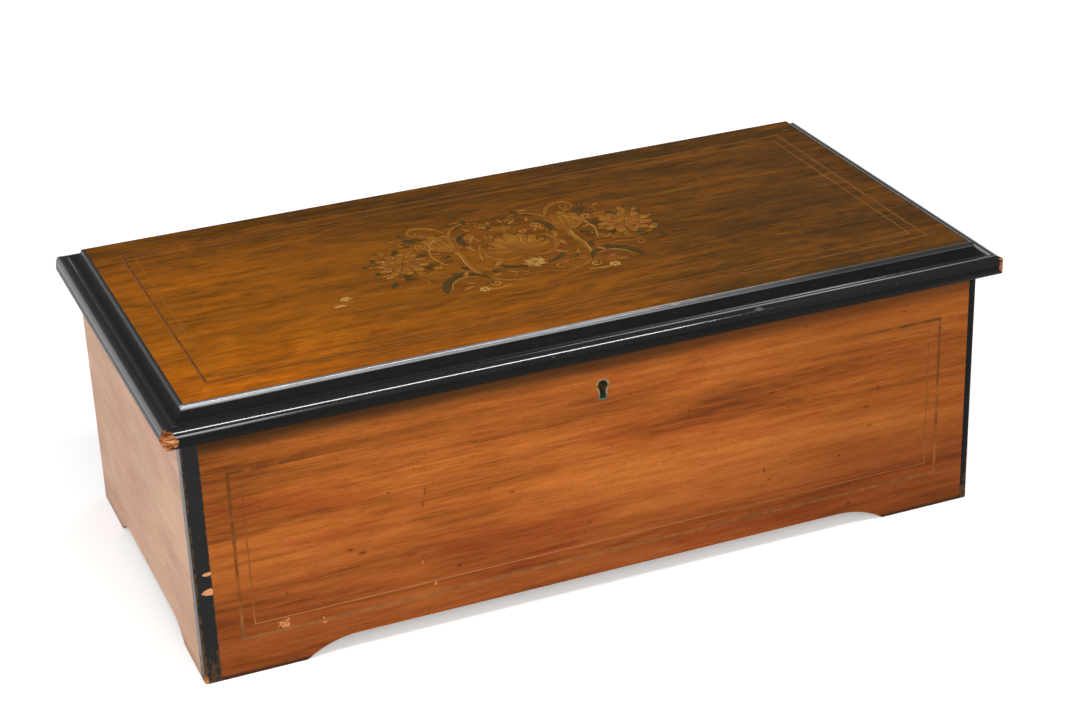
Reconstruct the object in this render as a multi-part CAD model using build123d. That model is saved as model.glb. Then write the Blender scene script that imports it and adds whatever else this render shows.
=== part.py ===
from build123d import *
from math import asin, atan2, cos, degrees, pi, radians, sin, sqrt
import os

# Musical box in a long veneered case, with a pinned-cylinder movement wound by a lever.
# Millimetres. X runs along the front, Y to the back, Z up. The origin is on the floor,
# below the middle of the lid.

# ---- case -------------------------------------------------------------------
case_length = 560.0
case_depth = 274.0
case_height = 176.0         # floor to rim
wall = 11.0                 # front, back and end boards
lid_lead = 2.0              # the lid sits this much further forward than the case
strip_depth = 10.0          # ebonised corner strip, seen from the end; it is as wide as a wall
strip_round = 1.5
foot_rise = 11.3            # height of the arch between the feet
front_foot = 68.0           # corner to the inner end of a foot, on the front
front_sweep = 36.0          # length of the curve beside that foot
end_foot = 52.0
end_sweep = 27.0
bottom_gap = 13.0           # floor to the underside of the bottom board
bottom_thick = 9.0
partition_thick = 8.0
partition_height = 136.0    # above the bottom board
partition_place = 204.0     # middle of a partition, from the middle of the case

# ---- lid --------------------------------------------------------------------
lid_gap = 0.3               # between the rim and the closed lid
lid_thick = 21.7
top_length = 548.2          # veneered field inside the mouldings
top_depth = 265.5
step_round = 2.5            # quarter round beside the veneer
nose_radius = 7.0           # half-round nose of the moulding
nose_reach = 12.3           # veneer edge to the middle of the nose
cove_end = 110.0            # angle on the nose where the hollow runs in
corner_round = 9.0          # plan radius of the worn lid corners
lid_opens = 95.0
card_length = 150.0
card_depth = 104.0
card_thick = 0.6

# ---- butt hinges of the lid ---------------------------------------------------
hinge_place = 185.0         # middle of a hinge, from the middle of the case
hinge_length = 60.0
leaf_depth = 10.0
leaf_thick = 1.5
knuckle_radius = 2.8
knuckles = 5
hinge_pin_radius = 1.2
running = 0.05              # radial clearance of a pin or arbor in its hole
knuckle_gap = 0.2           # end play between knuckles
turning_gap = 0.4           # around a knuckle that turns

# ---- lock ---------------------------------------------------------------------
key_height = 151.0          # middle of the round part of the keyhole
key_radius = 3.6
key_slot = 4.2
key_drop = 9.3              # middle of the round part to the foot of the slot
liner_wall = 1.1            # brass round the keyhole
lock_length = 60.0
lock_depth = 10.0
lock_drop = 38.0            # height of the lock body under its top plate
top_plate_thick = 2.0
top_plate_extra = 6.0       # the top plate runs past the body at each end
bolt_width = 14.0
bolt_thick = 4.0
bolt_throw = 8.0
sliding = 0.3               # clearance around a sliding bolt

# ---- glazed inner lid ---------------------------------------------------------
frame_bar = 14.0
frame_thick = 7.0
frame_gap = 4.0             # frame to the front board, and pin line to the back board
glass_thick = 2.4
glass_lap = 3.0
glass_hinge_place = 120.0
glass_hinge_length = 30.0
glass_knuckle_radius = 2.0
glass_leaf_thick = 1.0
rest_gap = 0.3

# ---- bedplate and bearers -------------------------------------------------------
bearer_height = 20.0
bearer_width = 20.0
bed_length = 380.0
bed_depth = 172.0
bed_thick = 7.0
bed_back = 4.0              # middle of the bedplate behind the middle of the case
bed_bolt_radius = 3.0
bed_bolt_inset = 8.0

# ---- pinned cylinder --------------------------------------------------------------
cylinder_length = 246.0
cylinder_radius = 27.0
cylinder_wall = 2.0
cap_thick = 3.0
cylinder_start = -118.0     # left end, with the first tune in place
axis_height = 38.0          # arbor above the bedplate
axis_back = 18.0            # arbor behind the middle of the case
arbor_radius = 4.0
collar_radius = 6.0
tunes = 8
tune_step = 0.45            # shift of the cylinder from one tune to the next

# ---- gears --------------------------------------------------------------------------
great_module = 1.1
great_teeth = 60
arbor_pinion_teeth = 12
wheel_module = 0.8
wheel_teeth = 84
first_pinion_teeth = 12
train_module = 0.6
first_wheel_teeth = 60
second_pinion_teeth = 12
worm_module = 0.7
worm_wheel_teeth = 24
worm_pitch_radius = 2.6
great_width = 5.0
wheel_width = 3.0
train_width = 2.0
pinion_overhang = 1.0       # a pinion is this much longer than its wheel at each end

# ---- spring barrel and winding ----------------------------------------------------
barrel_radius = 30.0
barrel_wall = 1.6
barrel_length = 38.0
barrel_end = 2.0
winding_radius = 5.0
spring_strip = 0.6
spring_pitch = 1.9
spring_turns = 9
ratchet_teeth = 20
ratchet_radius = 19.0
ratchet_depth = 3.0
ratchet_thick = 4.0
lever_length = 80.0
lever_rise = 12.0           # the resting lever points this far above level
lever_swing = 65.0
lever_thick = 4.0
lever_width = 9.0
lever_knob_radius = 6.5
pawl_lift = 8.0
click_lift = 10.0

# ---- comb ----------------------------------------------------------------------------
comb_teeth = 60
tooth_pitch = 3.9
tooth_gap = 0.8
comb_thick = 3.0
comb_land = 22.0
bass_tooth = 44.0
treble_tooth = 24.0
comb_clearance = 1.1        # tooth tips to the cylinder
comb_screw_count = 7
comb_screw_radius = 2.0

# ---- governor ------------------------------------------------------------------------
first_angle = 25.0          # first arbor seen from the cylinder arbor, above level
second_angle = -70.0        # second arbor seen from the first
train_radius = 1.5
screw_shaft_radius = 1.2
thread_length = 12.0
fan_reach = 10.5
fan_height = 12.0
fan_thick = 0.8

# ---- levers and tune pointer -----------------------------------------------------------
control_x = 180.0
start_y = -26.0
change_y = -50.0
control_reach = 66.0
control_thick = 3.0
start_swing = 14.0
change_swing = 12.0
stud_radius = 2.0
pointer_x = -128.0
pointer_y = -16.0
pointer_tail = 13.0         # pivot to the tip that feels the cylinder, along Y
pointer_long = 50.0
pointer_thick = 1.5

# ---- places worked out from the sizes above ----------------------------------------------
case_y = lid_lead
strip_width = wall
half_length = case_length / 2
front_y = case_y - case_depth / 2
back_y = case_y + case_depth / 2
inner_x = half_length - wall
inner_front = front_y + wall
inner_back = back_y - wall
floor_z = bottom_gap + bottom_thick
lid_under = case_height + lid_gap
lid_top = lid_under + lid_thick
partition_top = floor_z + partition_height
bed_under = floor_z + bearer_height
bed_top = bed_under + bed_thick
bed_y = case_y + bed_back
axis_y = case_y + axis_back
axis_z = bed_top + axis_height
cylinder_end = cylinder_start + cylinder_length
shift_range = tune_step * (tunes - 1)


def block(x0, x1, y0, y1, z0, z1):
    """Box between two corners."""
    middle = Pos((x0 + x1) / 2, (y0 + y1) / 2, (z0 + z1) / 2)
    return middle * Box(abs(x1 - x0), abs(y1 - y0), abs(z1 - z0))


def rod_x(x0, x1, y, z, radius):
    """Round bar along X."""
    return Pos((x0 + x1) / 2, y, z) * Rot(0, 90, 0) * Cylinder(radius, x1 - x0)


def rod_y(y0, y1, x, z, radius):
    """Round bar along Y."""
    return Pos(x, (y0 + y1) / 2, z) * Rot(90, 0, 0) * Cylinder(radius, y1 - y0)


def rod_z(z0, z1, x, y, radius):
    """Round bar along Z."""
    return Pos(x, y, (z0 + z1) / 2) * Cylinder(radius, z1 - z0)


def plane_x(x, y, z):
    """Drawing plane square to X: its own axes are Y and Z."""
    return Plane(origin=(x, y, z), x_dir=(0, 1, 0), z_dir=(1, 0, 0))


def plane_y(x, y, z):
    """Drawing plane square to Y: its own axes are X and Z, and it extrudes to the front."""
    return Plane(origin=(x, y, z), x_dir=(1, 0, 0), z_dir=(0, -1, 0))


def closed(*lines):
    """Flat face inside lines and curves that meet end to end."""
    return make_face([edge for line in lines for edge in line.edges()])


def polar(radius, angle):
    """Point at a radius and an angle in degrees."""
    return radius * cos(radians(angle)), radius * sin(radians(angle))


def together(pieces):
    """Separate solids that share a node."""
    return Compound(children=[solid for piece in pieces for solid in piece.solids()])


# ---- boards of the case --------------------------------------------------------------------

def arched_outline(low, high, height, foot_low, foot_high, sweep):
    """Board seen square on, with a shallow arch cut between two feet."""
    inner_low, inner_high = low + foot_low, high - foot_high
    flat_low, flat_high = inner_low + sweep, inner_high - sweep
    return closed(
        Polyline((inner_low, 0), (low, 0), (low, height), (high, height), (high, 0), (inner_high, 0)),
        TangentArc((flat_high, foot_rise), (inner_high, 0), tangent=(1, 0)),
        Line((flat_high, foot_rise), (flat_low, foot_rise)),
        TangentArc((flat_low, foot_rise), (inner_low, 0), tangent=(-1, 0)),
    )


def keyhole_outline(radius, slot, drop):
    """Round hole with a slot hanging from it."""
    foot = Pos(0, -drop / 2) * Rectangle(slot, drop)
    return Circle(radius) + foot


def keyhole(radius, slot, drop, y_out, y_in):
    """Solid of the keyhole's shape between two depths."""
    outline = keyhole_outline(radius, slot, drop)
    return extrude(plane_y(0, y_in, key_height) * outline, y_in - y_out)


def liner_solid():
    """Outer shape of the brass liner, which is also the hole in the front board."""
    return keyhole(key_radius + liner_wall, key_slot + 2 * liner_wall, key_drop + liner_wall,
                   front_y, inner_front)


def top_plate_solid():
    """Top plate of the lock, let into the rim of the front board."""
    reach = lock_length / 2 + top_plate_extra
    return block(-reach, reach, front_y + strip_depth / 3, inner_front + lock_depth,
                 case_height - top_plate_thick, case_height)


def front_panel():
    half = half_length - strip_width
    foot = front_foot - strip_width
    outline = arched_outline(-half, half, case_height, foot, foot, front_sweep)
    board = extrude(plane_y(0, inner_front, 0) * outline, wall)
    return board - liner_solid() - top_plate_solid()


def back_panel():
    foot = front_foot - wall
    outline = arched_outline(-inner_x, inner_x, case_height, foot, foot, front_sweep)
    board = extrude(plane_y(0, back_y, 0) * outline, wall)
    for leaf in case_leaf_blanks():
        board -= leaf
    return board - together(case_hinge_screws())


def end_panel(side):
    """Painted end board; side is -1 on the left and 1 on the right."""
    start = front_y + strip_depth
    outline = arched_outline(start, back_y, case_height, end_foot - strip_depth, end_foot, end_sweep)
    outer = side * half_length
    left = min(outer, side * inner_x)
    return extrude(plane_x(left, 0, 0) * outline, wall)


def corner_strip(side):
    """Ebonised strip at a front corner, with its outer edge eased."""
    outer, inner = side * half_length, side * (half_length - strip_width)
    strip = block(min(outer, inner), max(outer, inner), front_y, front_y + strip_depth, 0, case_height)
    edges = strip.edges().filter_by(Axis.Z).sort_by(lambda e: e.center().Y - side * e.center().X)
    return fillet(edges[0], strip_round)


def bottom_board():
    return block(-inner_x, inner_x, inner_front, inner_back, bottom_gap, floor_z)


def bearer_rails():
    """Two wooden rails that carry the bedplate."""
    rails = []
    for side in (-1, 1):
        y = bed_y + side * (bed_depth / 2 - bed_bolt_inset)
        rails.append(block(-bed_length / 2, bed_length / 2, y - bearer_width / 2, y + bearer_width / 2,
                           floor_z, bed_under))
    return together(rails) - together(bedplate_bolts())


def partition(side):
    """Upright board that closes off an end of the movement."""
    x = side * partition_place
    board = block(x - partition_thick / 2, x + partition_thick / 2, inner_front, inner_back,
                  floor_z, partition_top)
    return board


def left_partition():
    hole = rod_x(-inner_x, 0, barrel_y, axis_z, winding_radius + 1)
    return partition(-1) - hole


def right_partition():
    board = partition(1)
    reach = partition_place + partition_thick / 2 - control_x
    for y, swing in ((start_y, start_swing), (change_y, -change_swing)):
        end = y + reach * sin(radians(swing))
        low = min(y, end) - lever_half - slot_margin
        high = max(y, end) + lever_half + slot_margin
        board -= block(0, inner_x, low, high, bed_top - 1, control_z + control_thick + slot_margin)
    return board


# ---- lid ---------------------------------------------------------------------------------------

def moulding_outline():
    """Section of the lid moulding: distance out from the veneer, and height."""
    top = lid_top
    middle_z = lid_under + nose_radius
    start_x, start_z = polar(nose_radius, cove_end)
    meet = (nose_reach + start_x, middle_z + start_z)
    step = (step_round, top - step_round)
    sag = ((step[0] + meet[0]) / 2 - 0.7, (step[1] + meet[1]) / 2 - 0.9)
    side_x, side_z = polar(nose_radius, cove_end / 2 - 45)
    return closed(
        Line((0, lid_under), (0, top)),
        TangentArc((0, top), step, tangent=(1, 0)),
        ThreePointArc(step, sag, meet),
        ThreePointArc(meet, (nose_reach + side_x, middle_z + side_z), (nose_reach, lid_under)),
        Line((nose_reach, lid_under), (0, lid_under)),
    )


def mitre_outline(half_x, half_y, reach):
    """Plan of one mitred moulding on the front side."""
    return make_face(Polyline((-half_x, -half_y), (half_x, -half_y), (half_x + reach, -half_y - reach),
                              (-half_x - reach, -half_y - reach), close=True))


def lid_moulding(quarter):
    """One moulding: quarter is 0 front, 1 right, 2 back, 3 left."""
    along = top_length if quarter % 2 == 0 else top_depth
    across = top_depth if quarter % 2 == 0 else top_length
    reach = nose_reach + nose_radius
    section = Plane(origin=(-along / 2 - reach, -across / 2, 0), x_dir=(0, -1, 0), z_dir=(-1, 0, 0))
    bar = extrude(section * moulding_outline(), -(along + 2 * reach))
    mitre = extrude(mitre_outline(along / 2, across / 2, reach), lid_top)
    rounded = extrude(RectangleRounded(along + 2 * reach, across + 2 * reach, corner_round), lid_top)
    bar = bar & mitre & rounded
    return Rot(0, 0, 90 * quarter) * bar


def lid_moulding_back():
    moulding = lid_moulding(2)
    for leaf in lid_leaf_blanks() + lid_hinge_screws():
        moulding -= leaf
    for x in (-hinge_place, hinge_place):
        half = hinge_length / 2 + turning_gap
        moulding -= rod_x(x - half, x + half, hinge_y, hinge_z, knuckle_radius + turning_gap)
        moulding -= block(x - half, x + half, hinge_y - knuckle_radius - turning_gap, hinge_y,
                          lid_under, lid_under + leaf_thick)
    return moulding


def lid_board():
    board = block(-top_length / 2, top_length / 2, -top_depth / 2, top_depth / 2, lid_under, lid_top)
    for leaf in lid_leaf_blanks():
        board -= leaf
    board -= together(lid_hinge_screws())
    return board - strike_plate_blank() - strike_pocket()


def tune_card():
    return block(-card_length / 2, card_length / 2, -card_depth / 2, card_depth / 2,
                 lid_under - card_thick, lid_under)


# ---- lid hinges --------------------------------------------------------------------------------

hinge_y = back_y + knuckle_radius + 0.2
hinge_z = case_height + lid_gap / 2


def wood_screw(x, y, z, upward):
    """Countersunk screw whose head is flush with z; it points up or down."""
    turn = 1 if upward else -1
    head = Pos(x, y, z + turn * 0.5) * Cylinder(2.2, 1.0)
    shank = Pos(x, y, z + turn * 5.0) * Cylinder(1.1, 8.0)
    slot = Pos(x, y, z) * Box(5.0, 0.6, 0.8)
    return head + shank - slot


def leaf_screw_places():
    """Three screws in each leaf."""
    return [(side * hinge_place + step * hinge_length / 3, back_y - leaf_depth / 2)
            for side in (-1, 1) for step in (-1, 0, 1)]


def case_hinge_screws():
    return [wood_screw(x, y, case_height, False) for x, y in leaf_screw_places()]


def lid_hinge_screws():
    return [wood_screw(x, y, lid_under, True) for x, y in leaf_screw_places()]


def case_leaf_blanks():
    return [block(x - hinge_length / 2, x + hinge_length / 2, back_y - leaf_depth, back_y,
                  case_height - leaf_thick, case_height) for x in (-hinge_place, hinge_place)]


def lid_leaf_blanks():
    return [block(x - hinge_length / 2, x + hinge_length / 2, back_y - leaf_depth, back_y,
                  lid_under, lid_under + leaf_thick) for x in (-hinge_place, hinge_place)]


def knuckle_row(x, length, radius, y, z, odd, count):
    """Every second knuckle of a hinge, as solids along X."""
    pitch = length / count
    row = []
    for index in range(count):
        if index % 2 == odd:
            start = x - length / 2 + index * pitch + knuckle_gap / 2
            row.append((start, start + pitch - knuckle_gap))
    return row


def hinge_leaf(x, odd, low_z, high_z):
    """Leaf with its knuckles: the plate reaches the pin line only beside its own knuckles."""
    leaf = block(x - hinge_length / 2, x + hinge_length / 2, back_y - leaf_depth,
                 hinge_y - knuckle_radius - turning_gap, low_z, high_z)
    for start, end in knuckle_row(x, hinge_length, knuckle_radius, hinge_y, hinge_z, odd, knuckles):
        leaf += block(start, end, back_y - leaf_depth, hinge_y, low_z, high_z)
        leaf += rod_x(start, end, hinge_y, hinge_z, knuckle_radius)
    bore = rod_x(x - hinge_length, x + hinge_length, hinge_y, hinge_z, hinge_pin_radius + running)
    return leaf - bore


def case_hinge_leaves():
    leaves = together([hinge_leaf(x, 0, case_height - leaf_thick, case_height)
                       for x in (-hinge_place, hinge_place)])
    return leaves - together(case_hinge_screws())


def lid_hinge_leaves():
    leaves = together([hinge_leaf(x, 1, lid_under, lid_under + leaf_thick)
                       for x in (-hinge_place, hinge_place)])
    return leaves - together(lid_hinge_screws())


def hinge_pins():
    half = hinge_length / 2
    return together([rod_x(x - half, x + half, hinge_y, hinge_z, hinge_pin_radius)
                     for x in (-hinge_place, hinge_place)])


# ---- lock ------------------------------------------------------------------------------------------

bolt_y = inner_front + lock_depth / 2


def lock_bolt():
    """Sliding bolt, drawn back: its top is just under the top plate's face."""
    top = case_height - 0.2
    return block(-bolt_width / 2, bolt_width / 2, bolt_y - bolt_thick / 2, bolt_y + bolt_thick / 2,
                 key_height + key_radius + 3, top)


def lock_case():
    low = case_height - top_plate_thick - lock_drop
    body = block(-lock_length / 2, lock_length / 2, inner_front, inner_front + lock_depth,
                 low, case_height - top_plate_thick)
    body += top_plate_solid()
    channel = block(-bolt_width / 2 - sliding, bolt_width / 2 + sliding,
                    bolt_y - bolt_thick / 2 - sliding, bolt_y + bolt_thick / 2 + sliding,
                    key_height + key_radius + 3 - sliding, case_height)
    keyway = keyhole(key_radius + 0.5, key_slot + 1, key_drop, inner_front, inner_front + lock_depth * 0.6)
    pin = rod_y(inner_front + 1, inner_front + lock_depth * 0.6, 0, key_height, key_radius / 3)
    return body - channel - keyway + pin


def escutcheon():
    hollow = keyhole(key_radius, key_slot, key_drop, front_y, inner_front)
    return liner_solid() - hollow


def strike_plate_blank():
    reach = lock_length / 2
    return block(-reach, reach, bolt_y - 7, bolt_y + 7, lid_under, lid_under + top_plate_thick)


def strike_pocket():
    """Space above the closed lid's strike that the bolt enters."""
    margin = 2 * sliding
    return block(-bolt_width / 2 - margin, bolt_width / 2 + margin,
                 bolt_y - bolt_thick / 2 - margin, bolt_y + bolt_thick / 2 + margin,
                 lid_under, case_height + bolt_throw + 2)


def lock_strike():
    return strike_plate_blank() - strike_pocket()


# ---- glazed inner lid ---------------------------------------------------------------------------------

glass_z = partition_top + rest_gap
glass_front = inner_front + frame_gap
glass_pin_y = inner_back - frame_gap
glass_pin_z = glass_z + frame_thick + glass_leaf_thick / 2
glass_back = glass_pin_y - glass_knuckle_radius - turning_gap
glass_half = partition_place + partition_thick / 2
glass_knob_y = glass_front + frame_bar - 3.0


def glass_frame():
    top = glass_z + frame_thick
    frame = block(-glass_half, glass_half, glass_front, glass_back, glass_z, top)
    frame -= block(-glass_half + frame_bar, glass_half - frame_bar, glass_front + frame_bar,
                   glass_back - frame_bar, 0, case_height)
    lock_half = lock_length / 2 + 1
    frame -= block(-lock_half, lock_half, front_y, inner_front + lock_depth + 1, 0, case_height)
    return frame - glass_pane() - glass_knob_shank()


def glass_pane():
    inset = frame_bar - glass_lap
    return block(-glass_half + inset, glass_half - inset, glass_front + inset, glass_back - inset,
                 glass_z + 1, glass_z + 1 + glass_thick)


def glass_knob_shank():
    top = glass_z + frame_thick
    return rod_z(top - 3, top, 0, glass_knob_y, 1.5)


def glass_lid_knob():
    """Small turned brass knob on the front bar."""
    top = glass_z + frame_thick
    outline = closed(
        Polyline((0, 0), (4, 0), (4, 1), (2, 2.4)),
        ThreePointArc((2, 2.4), (4.2, 5.2), (2, 7.2)),
        Polyline((2, 7.2), (0, 7.2), (0, 0)),
    )
    knob = revolve(plane_y(0, glass_knob_y, top) * outline, Axis((0, glass_knob_y, top), (0, 0, 1)))
    return knob + glass_knob_shank()


def glass_hinge_rows(odd):
    return [row for side in (-1, 1)
            for row in knuckle_row(side * glass_hinge_place, glass_hinge_length, glass_knuckle_radius,
                                   glass_pin_y, glass_pin_z, odd, 3)]


def glass_hinge_bore():
    reach = glass_hinge_place + glass_hinge_length
    return rod_x(-reach, reach, glass_pin_y, glass_pin_z, 0.8 + running)


def glass_case_hinges():
    """Fixed leaves on the inside of the back board, with the pins in them."""
    pieces = []
    for side in (-1, 1):
        x = side * glass_hinge_place
        half = glass_hinge_length / 2
        leaf = block(x - half, x + half, inner_back - glass_leaf_thick, inner_back,
                     glass_pin_z - 10, glass_pin_z + 1)
        pin = rod_x(x - half, x + half, glass_pin_y, glass_pin_z, 0.8)
        for start, end in glass_hinge_rows(0):
            if abs(start - x) < glass_hinge_length:
                leaf += rod_x(start, end, glass_pin_y, glass_pin_z, glass_knuckle_radius)
                leaf += block(start, end, glass_pin_y, inner_back, glass_pin_z - 1, glass_pin_z + 1)
        pieces.append(leaf + pin)
    return together(pieces)


def glass_lid_hinges():
    """Moving leaves on top of the frame."""
    pieces = []
    for side in (-1, 1):
        x = side * glass_hinge_place
        half = glass_hinge_length / 2
        low, high = glass_pin_z - glass_leaf_thick / 2, glass_pin_z + glass_leaf_thick / 2
        leaf = block(x - half, x + half, glass_back - frame_bar + 2, glass_back, low, high)
        for start, end in glass_hinge_rows(1):
            if abs(start - x) < glass_hinge_length:
                leaf += rod_x(start, end, glass_pin_y, glass_pin_z, glass_knuckle_radius)
                leaf += block(start, end, glass_back, glass_pin_y, low, high)
        pieces.append(leaf - glass_hinge_bore())
    return together(pieces)


# ---- bedplate ---------------------------------------------------------------------------------------------

def bed_bolt_places():
    half_x = bed_length / 2 - bed_bolt_inset
    half_y = bed_depth / 2 - bed_bolt_inset
    return [(sx * half_x, bed_y + sy * half_y) for sx in (-1, 1) for sy in (-1, 1)]


def bedplate_bolts():
    """Slotted bolts that hold the bedplate on its rails."""
    bolts = []
    for x, y in bed_bolt_places():
        bolt = rod_z(bed_top - bed_thick - 15, bed_top, x, y, bed_bolt_radius)
        bolt += rod_z(bed_top, bed_top + 3, x, y, 2 * bed_bolt_radius)
        bolts.append(bolt - block(x - 7, x + 7, y - 0.6, y + 0.6, bed_top + 1.8, bed_top + 4))
    return bolts


def bedplate():
    plate = block(-bed_length / 2, bed_length / 2, bed_y - bed_depth / 2, bed_y + bed_depth / 2,
                  bed_under, bed_top)
    plate = fillet(plate.edges().filter_by(Axis.Z), 8)
    plate = chamfer(plate.faces().sort_by(Axis.Z)[-1].edges(), 1.2)
    return plate - together(bedplate_bolts())


# ---- gears ------------------------------------------------------------------------------------------------------

def gear(teeth, module, x0, x1, y, z, phase, tip=1.0, root=1.25, thick=0.40):
    """Straight-toothed gear about a line along X; one tooth stands at the phase angle in degrees."""
    pitch_radius = teeth * module / 2
    outer, inner = pitch_radius + tip * module, pitch_radius - root * module
    half = 180 / teeth
    points = []
    for tooth in range(teeth):
        middle = phase + 2 * half * tooth
        points += [polar(inner, middle - half * 1.25 * thick - half * 0.2),
                   polar(outer, middle - half * 0.45 * thick),
                   polar(outer, middle + half * 0.45 * thick),
                   polar(inner, middle + half * 1.25 * thick + half * 0.2)]
    outline = make_face(Polyline(*points, close=True))
    return extrude(plane_x(x0, y, z) * outline, x1 - x0)


def meshed_phase(teeth, phase, other_teeth, toward):
    """Phase of a gear that meshes with one already set; toward is its direction from the first."""
    return toward + 180 - (teeth * (phase - toward) + 180) / other_teeth


def crossings(x0, x1, y, z, inner, outer, count, phase):
    """Windows between the arms of a wheel."""
    window = Circle(outer) - Circle(inner)
    gap = Rectangle(4 * outer, max(3.0, 0.22 * outer))
    for index in range(count):
        window -= Rot(0, 0, phase + index * 360 / count) * Pos(2 * outer, 0) * gap
    return extrude(plane_x(x0, y, z) * window, x1 - x0)


# Distances between the arbors, and where each one stands.
great_distance = (great_teeth + arbor_pinion_teeth) * great_module / 2
first_distance = (wheel_teeth + first_pinion_teeth) * wheel_module / 2
second_distance = (first_wheel_teeth + second_pinion_teeth) * train_module / 2
worm_distance = worm_wheel_teeth * worm_module / 2 + worm_pitch_radius
barrel_y = axis_y + great_distance
first_y = axis_y + first_distance * cos(radians(first_angle))
first_z = axis_z + first_distance * sin(radians(first_angle))
second_y = first_y + second_distance * cos(radians(second_angle))
second_z = first_z + second_distance * sin(radians(second_angle))
screw_y = second_y + worm_distance

# Places along X.
pinion_gap = 10.0
great_x1 = cylinder_start - pinion_gap - 5
great_x0 = great_x1 - great_width
barrel_x0 = great_x0 - barrel_length
wheel_gap = 9.0
wheel_x0 = cylinder_end + wheel_gap
wheel_x1 = wheel_x0 + wheel_width
snail_x = wheel_x0 + 10.0
left_bearing_x = great_x0 - pinion_overhang - 15
right_bearing_x = snail_x + 15.0
bearing_thick = 8.0
train_x0 = snail_x + 9.0
worm_wheel_x0 = train_x0 + 8.0
worm_wheel_width = 3.0
screw_x = worm_wheel_x0 + worm_wheel_width / 2

# Phases, so that every pair is in mesh at rest.
wheel_phase = first_angle
first_pinion_phase = meshed_phase(wheel_teeth, wheel_phase, first_pinion_teeth, first_angle)
first_wheel_phase = second_angle
second_pinion_phase = meshed_phase(first_wheel_teeth, first_wheel_phase, second_pinion_teeth,
                                   second_angle)
great_phase = 180.0
arbor_pinion_phase = meshed_phase(great_teeth, great_phase, arbor_pinion_teeth, 180.0)
worm_wheel_phase = 180.0 / worm_wheel_teeth


# ---- cylinder ------------------------------------------------------------------------------------------------

drive_radius = 18.0
drive_pin_radius = 1.5


def cylinder_tube():
    tube = rod_x(cylinder_start, cylinder_end, axis_y, axis_z, cylinder_radius)
    bore = rod_x(cylinder_start, cylinder_end, axis_y, axis_z, cylinder_radius - cylinder_wall)
    return tube - bore


def cylinder_caps():
    """End caps that slide on the arbor; the right one carries the finger that feels the snail."""
    inner = cylinder_radius - cylinder_wall
    left = rod_x(cylinder_start, cylinder_start + cap_thick, axis_y, axis_z, inner)
    right = rod_x(cylinder_end - cap_thick, cylinder_end, axis_y, axis_z, inner)
    finger_end = snail_x - snail_radius(0) - 2 * rest_gap
    right += rod_x(cylinder_end - cap_thick, finger_end, axis_y, axis_z + drive_radius, 1.5)
    hole = rod_x(cylinder_start, cylinder_end, axis_y, axis_z, arbor_radius + running)
    socket = rod_x(cylinder_end - cap_thick, cylinder_end, axis_y, axis_z - drive_radius,
                   drive_pin_radius + running)
    return together([left - hole, right - hole - socket])


def cylinder_arbor():
    """Steel arbor with its pinion cut from the solid and a collar at each end."""
    arbor = rod_x(left_bearing_x - 2, right_bearing_x + bearing_thick + 2, axis_y, axis_z, arbor_radius)
    pinion = gear(arbor_pinion_teeth, great_module, great_x0 - pinion_overhang,
                  great_x1 + pinion_overhang, axis_y, axis_z, arbor_pinion_phase)
    left_collar = rod_x(left_bearing_x + bearing_thick + rest_gap, great_x0 - pinion_overhang,
                        axis_y, axis_z, collar_radius)
    right_collar = rod_x(wheel_x1, right_bearing_x - rest_gap, axis_y, axis_z, collar_radius)
    return arbor + pinion + left_collar + right_collar


def cylinder_wheel():
    """Wheel on the arbor that drives the governor, the cylinder through a pin, and carries the snail."""
    wheel = gear(wheel_teeth, wheel_module, wheel_x0, wheel_x1, axis_y, axis_z, wheel_phase)
    window = block(wheel_x0, wheel_x1, axis_y - 5, axis_y + 5, axis_z + 8, axis_z + 28.5)
    wheel -= window
    wheel -= rod_x(wheel_x0, wheel_x1, axis_y, axis_z, arbor_radius)
    wheel += rod_x(cylinder_end - cap_thick, wheel_x0, axis_y, axis_z - drive_radius, drive_pin_radius)
    ear_low, ear_high = snail_x - 3.0, snail_x + 3.0
    for y0, y1 in ((axis_y + 2.2, axis_y + 4.2), (axis_y - 4.2, axis_y - 2.2)):
        ear = block(wheel_x1, ear_high, y0, y1, axis_z + drive_radius - 3, axis_z + drive_radius + 3)
        foot_y = y1 + 3 if y1 > axis_y else y0 - 3
        foot = block(wheel_x1, wheel_x1 + 2, min(y0, foot_y), max(y1, foot_y),
                     axis_z + drive_radius - 3, axis_z + drive_radius + 3)
        wheel += ear + foot
    hole = rod_y(axis_y - 6, axis_y + 6, snail_x, axis_z + drive_radius, 1.0)
    return wheel - hole


def snail_radius(step):
    """Radius of the change snail for one tune; the cylinder moves right as it falls."""
    return 8.4 - tune_step * step


def change_snail():
    """Stepped cam, one step for each tune, on a pin across the ears of the wheel."""
    outline = None
    for step in range(tunes):
        start = 180 - 180 / tunes + step * 360 / tunes
        radius = snail_radius(step)
        points = [(0, 0)] + [polar(radius / cos(pi / tunes / 2), start + part * 180 / tunes)
                             for part in (0, 1, 2)]
        wedge = make_face(Polyline(*points, close=True))
        outline = wedge if outline is None else outline + wedge
    place = Plane(origin=(snail_x, axis_y + 0.9, axis_z + drive_radius), x_dir=(1, 0, 0), z_dir=(0, -1, 0))
    cam = extrude(place * outline, 1.8)
    pin = rod_y(axis_y - 4.2, axis_y + 4.2, snail_x, axis_z + drive_radius, 1.0 - running)
    return cam + pin


def bearing_block(x, y, width, bore):
    """Brass block on the bedplate that carries an arbor, with a rounded top and a foot."""
    half = width / 2
    post = block(x, x + bearing_thick, y - half, y + half, bed_top, axis_z)
    post += rod_x(x, x + bearing_thick, y, axis_z, half)
    return post - rod_x(x, x + bearing_thick, y, axis_z, bore + running)


def cylinder_bearings():
    width = 15.0
    return together([bearing_block(left_bearing_x, axis_y, width, arbor_radius),
                     bearing_block(right_bearing_x, axis_y, width, arbor_radius)])


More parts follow.
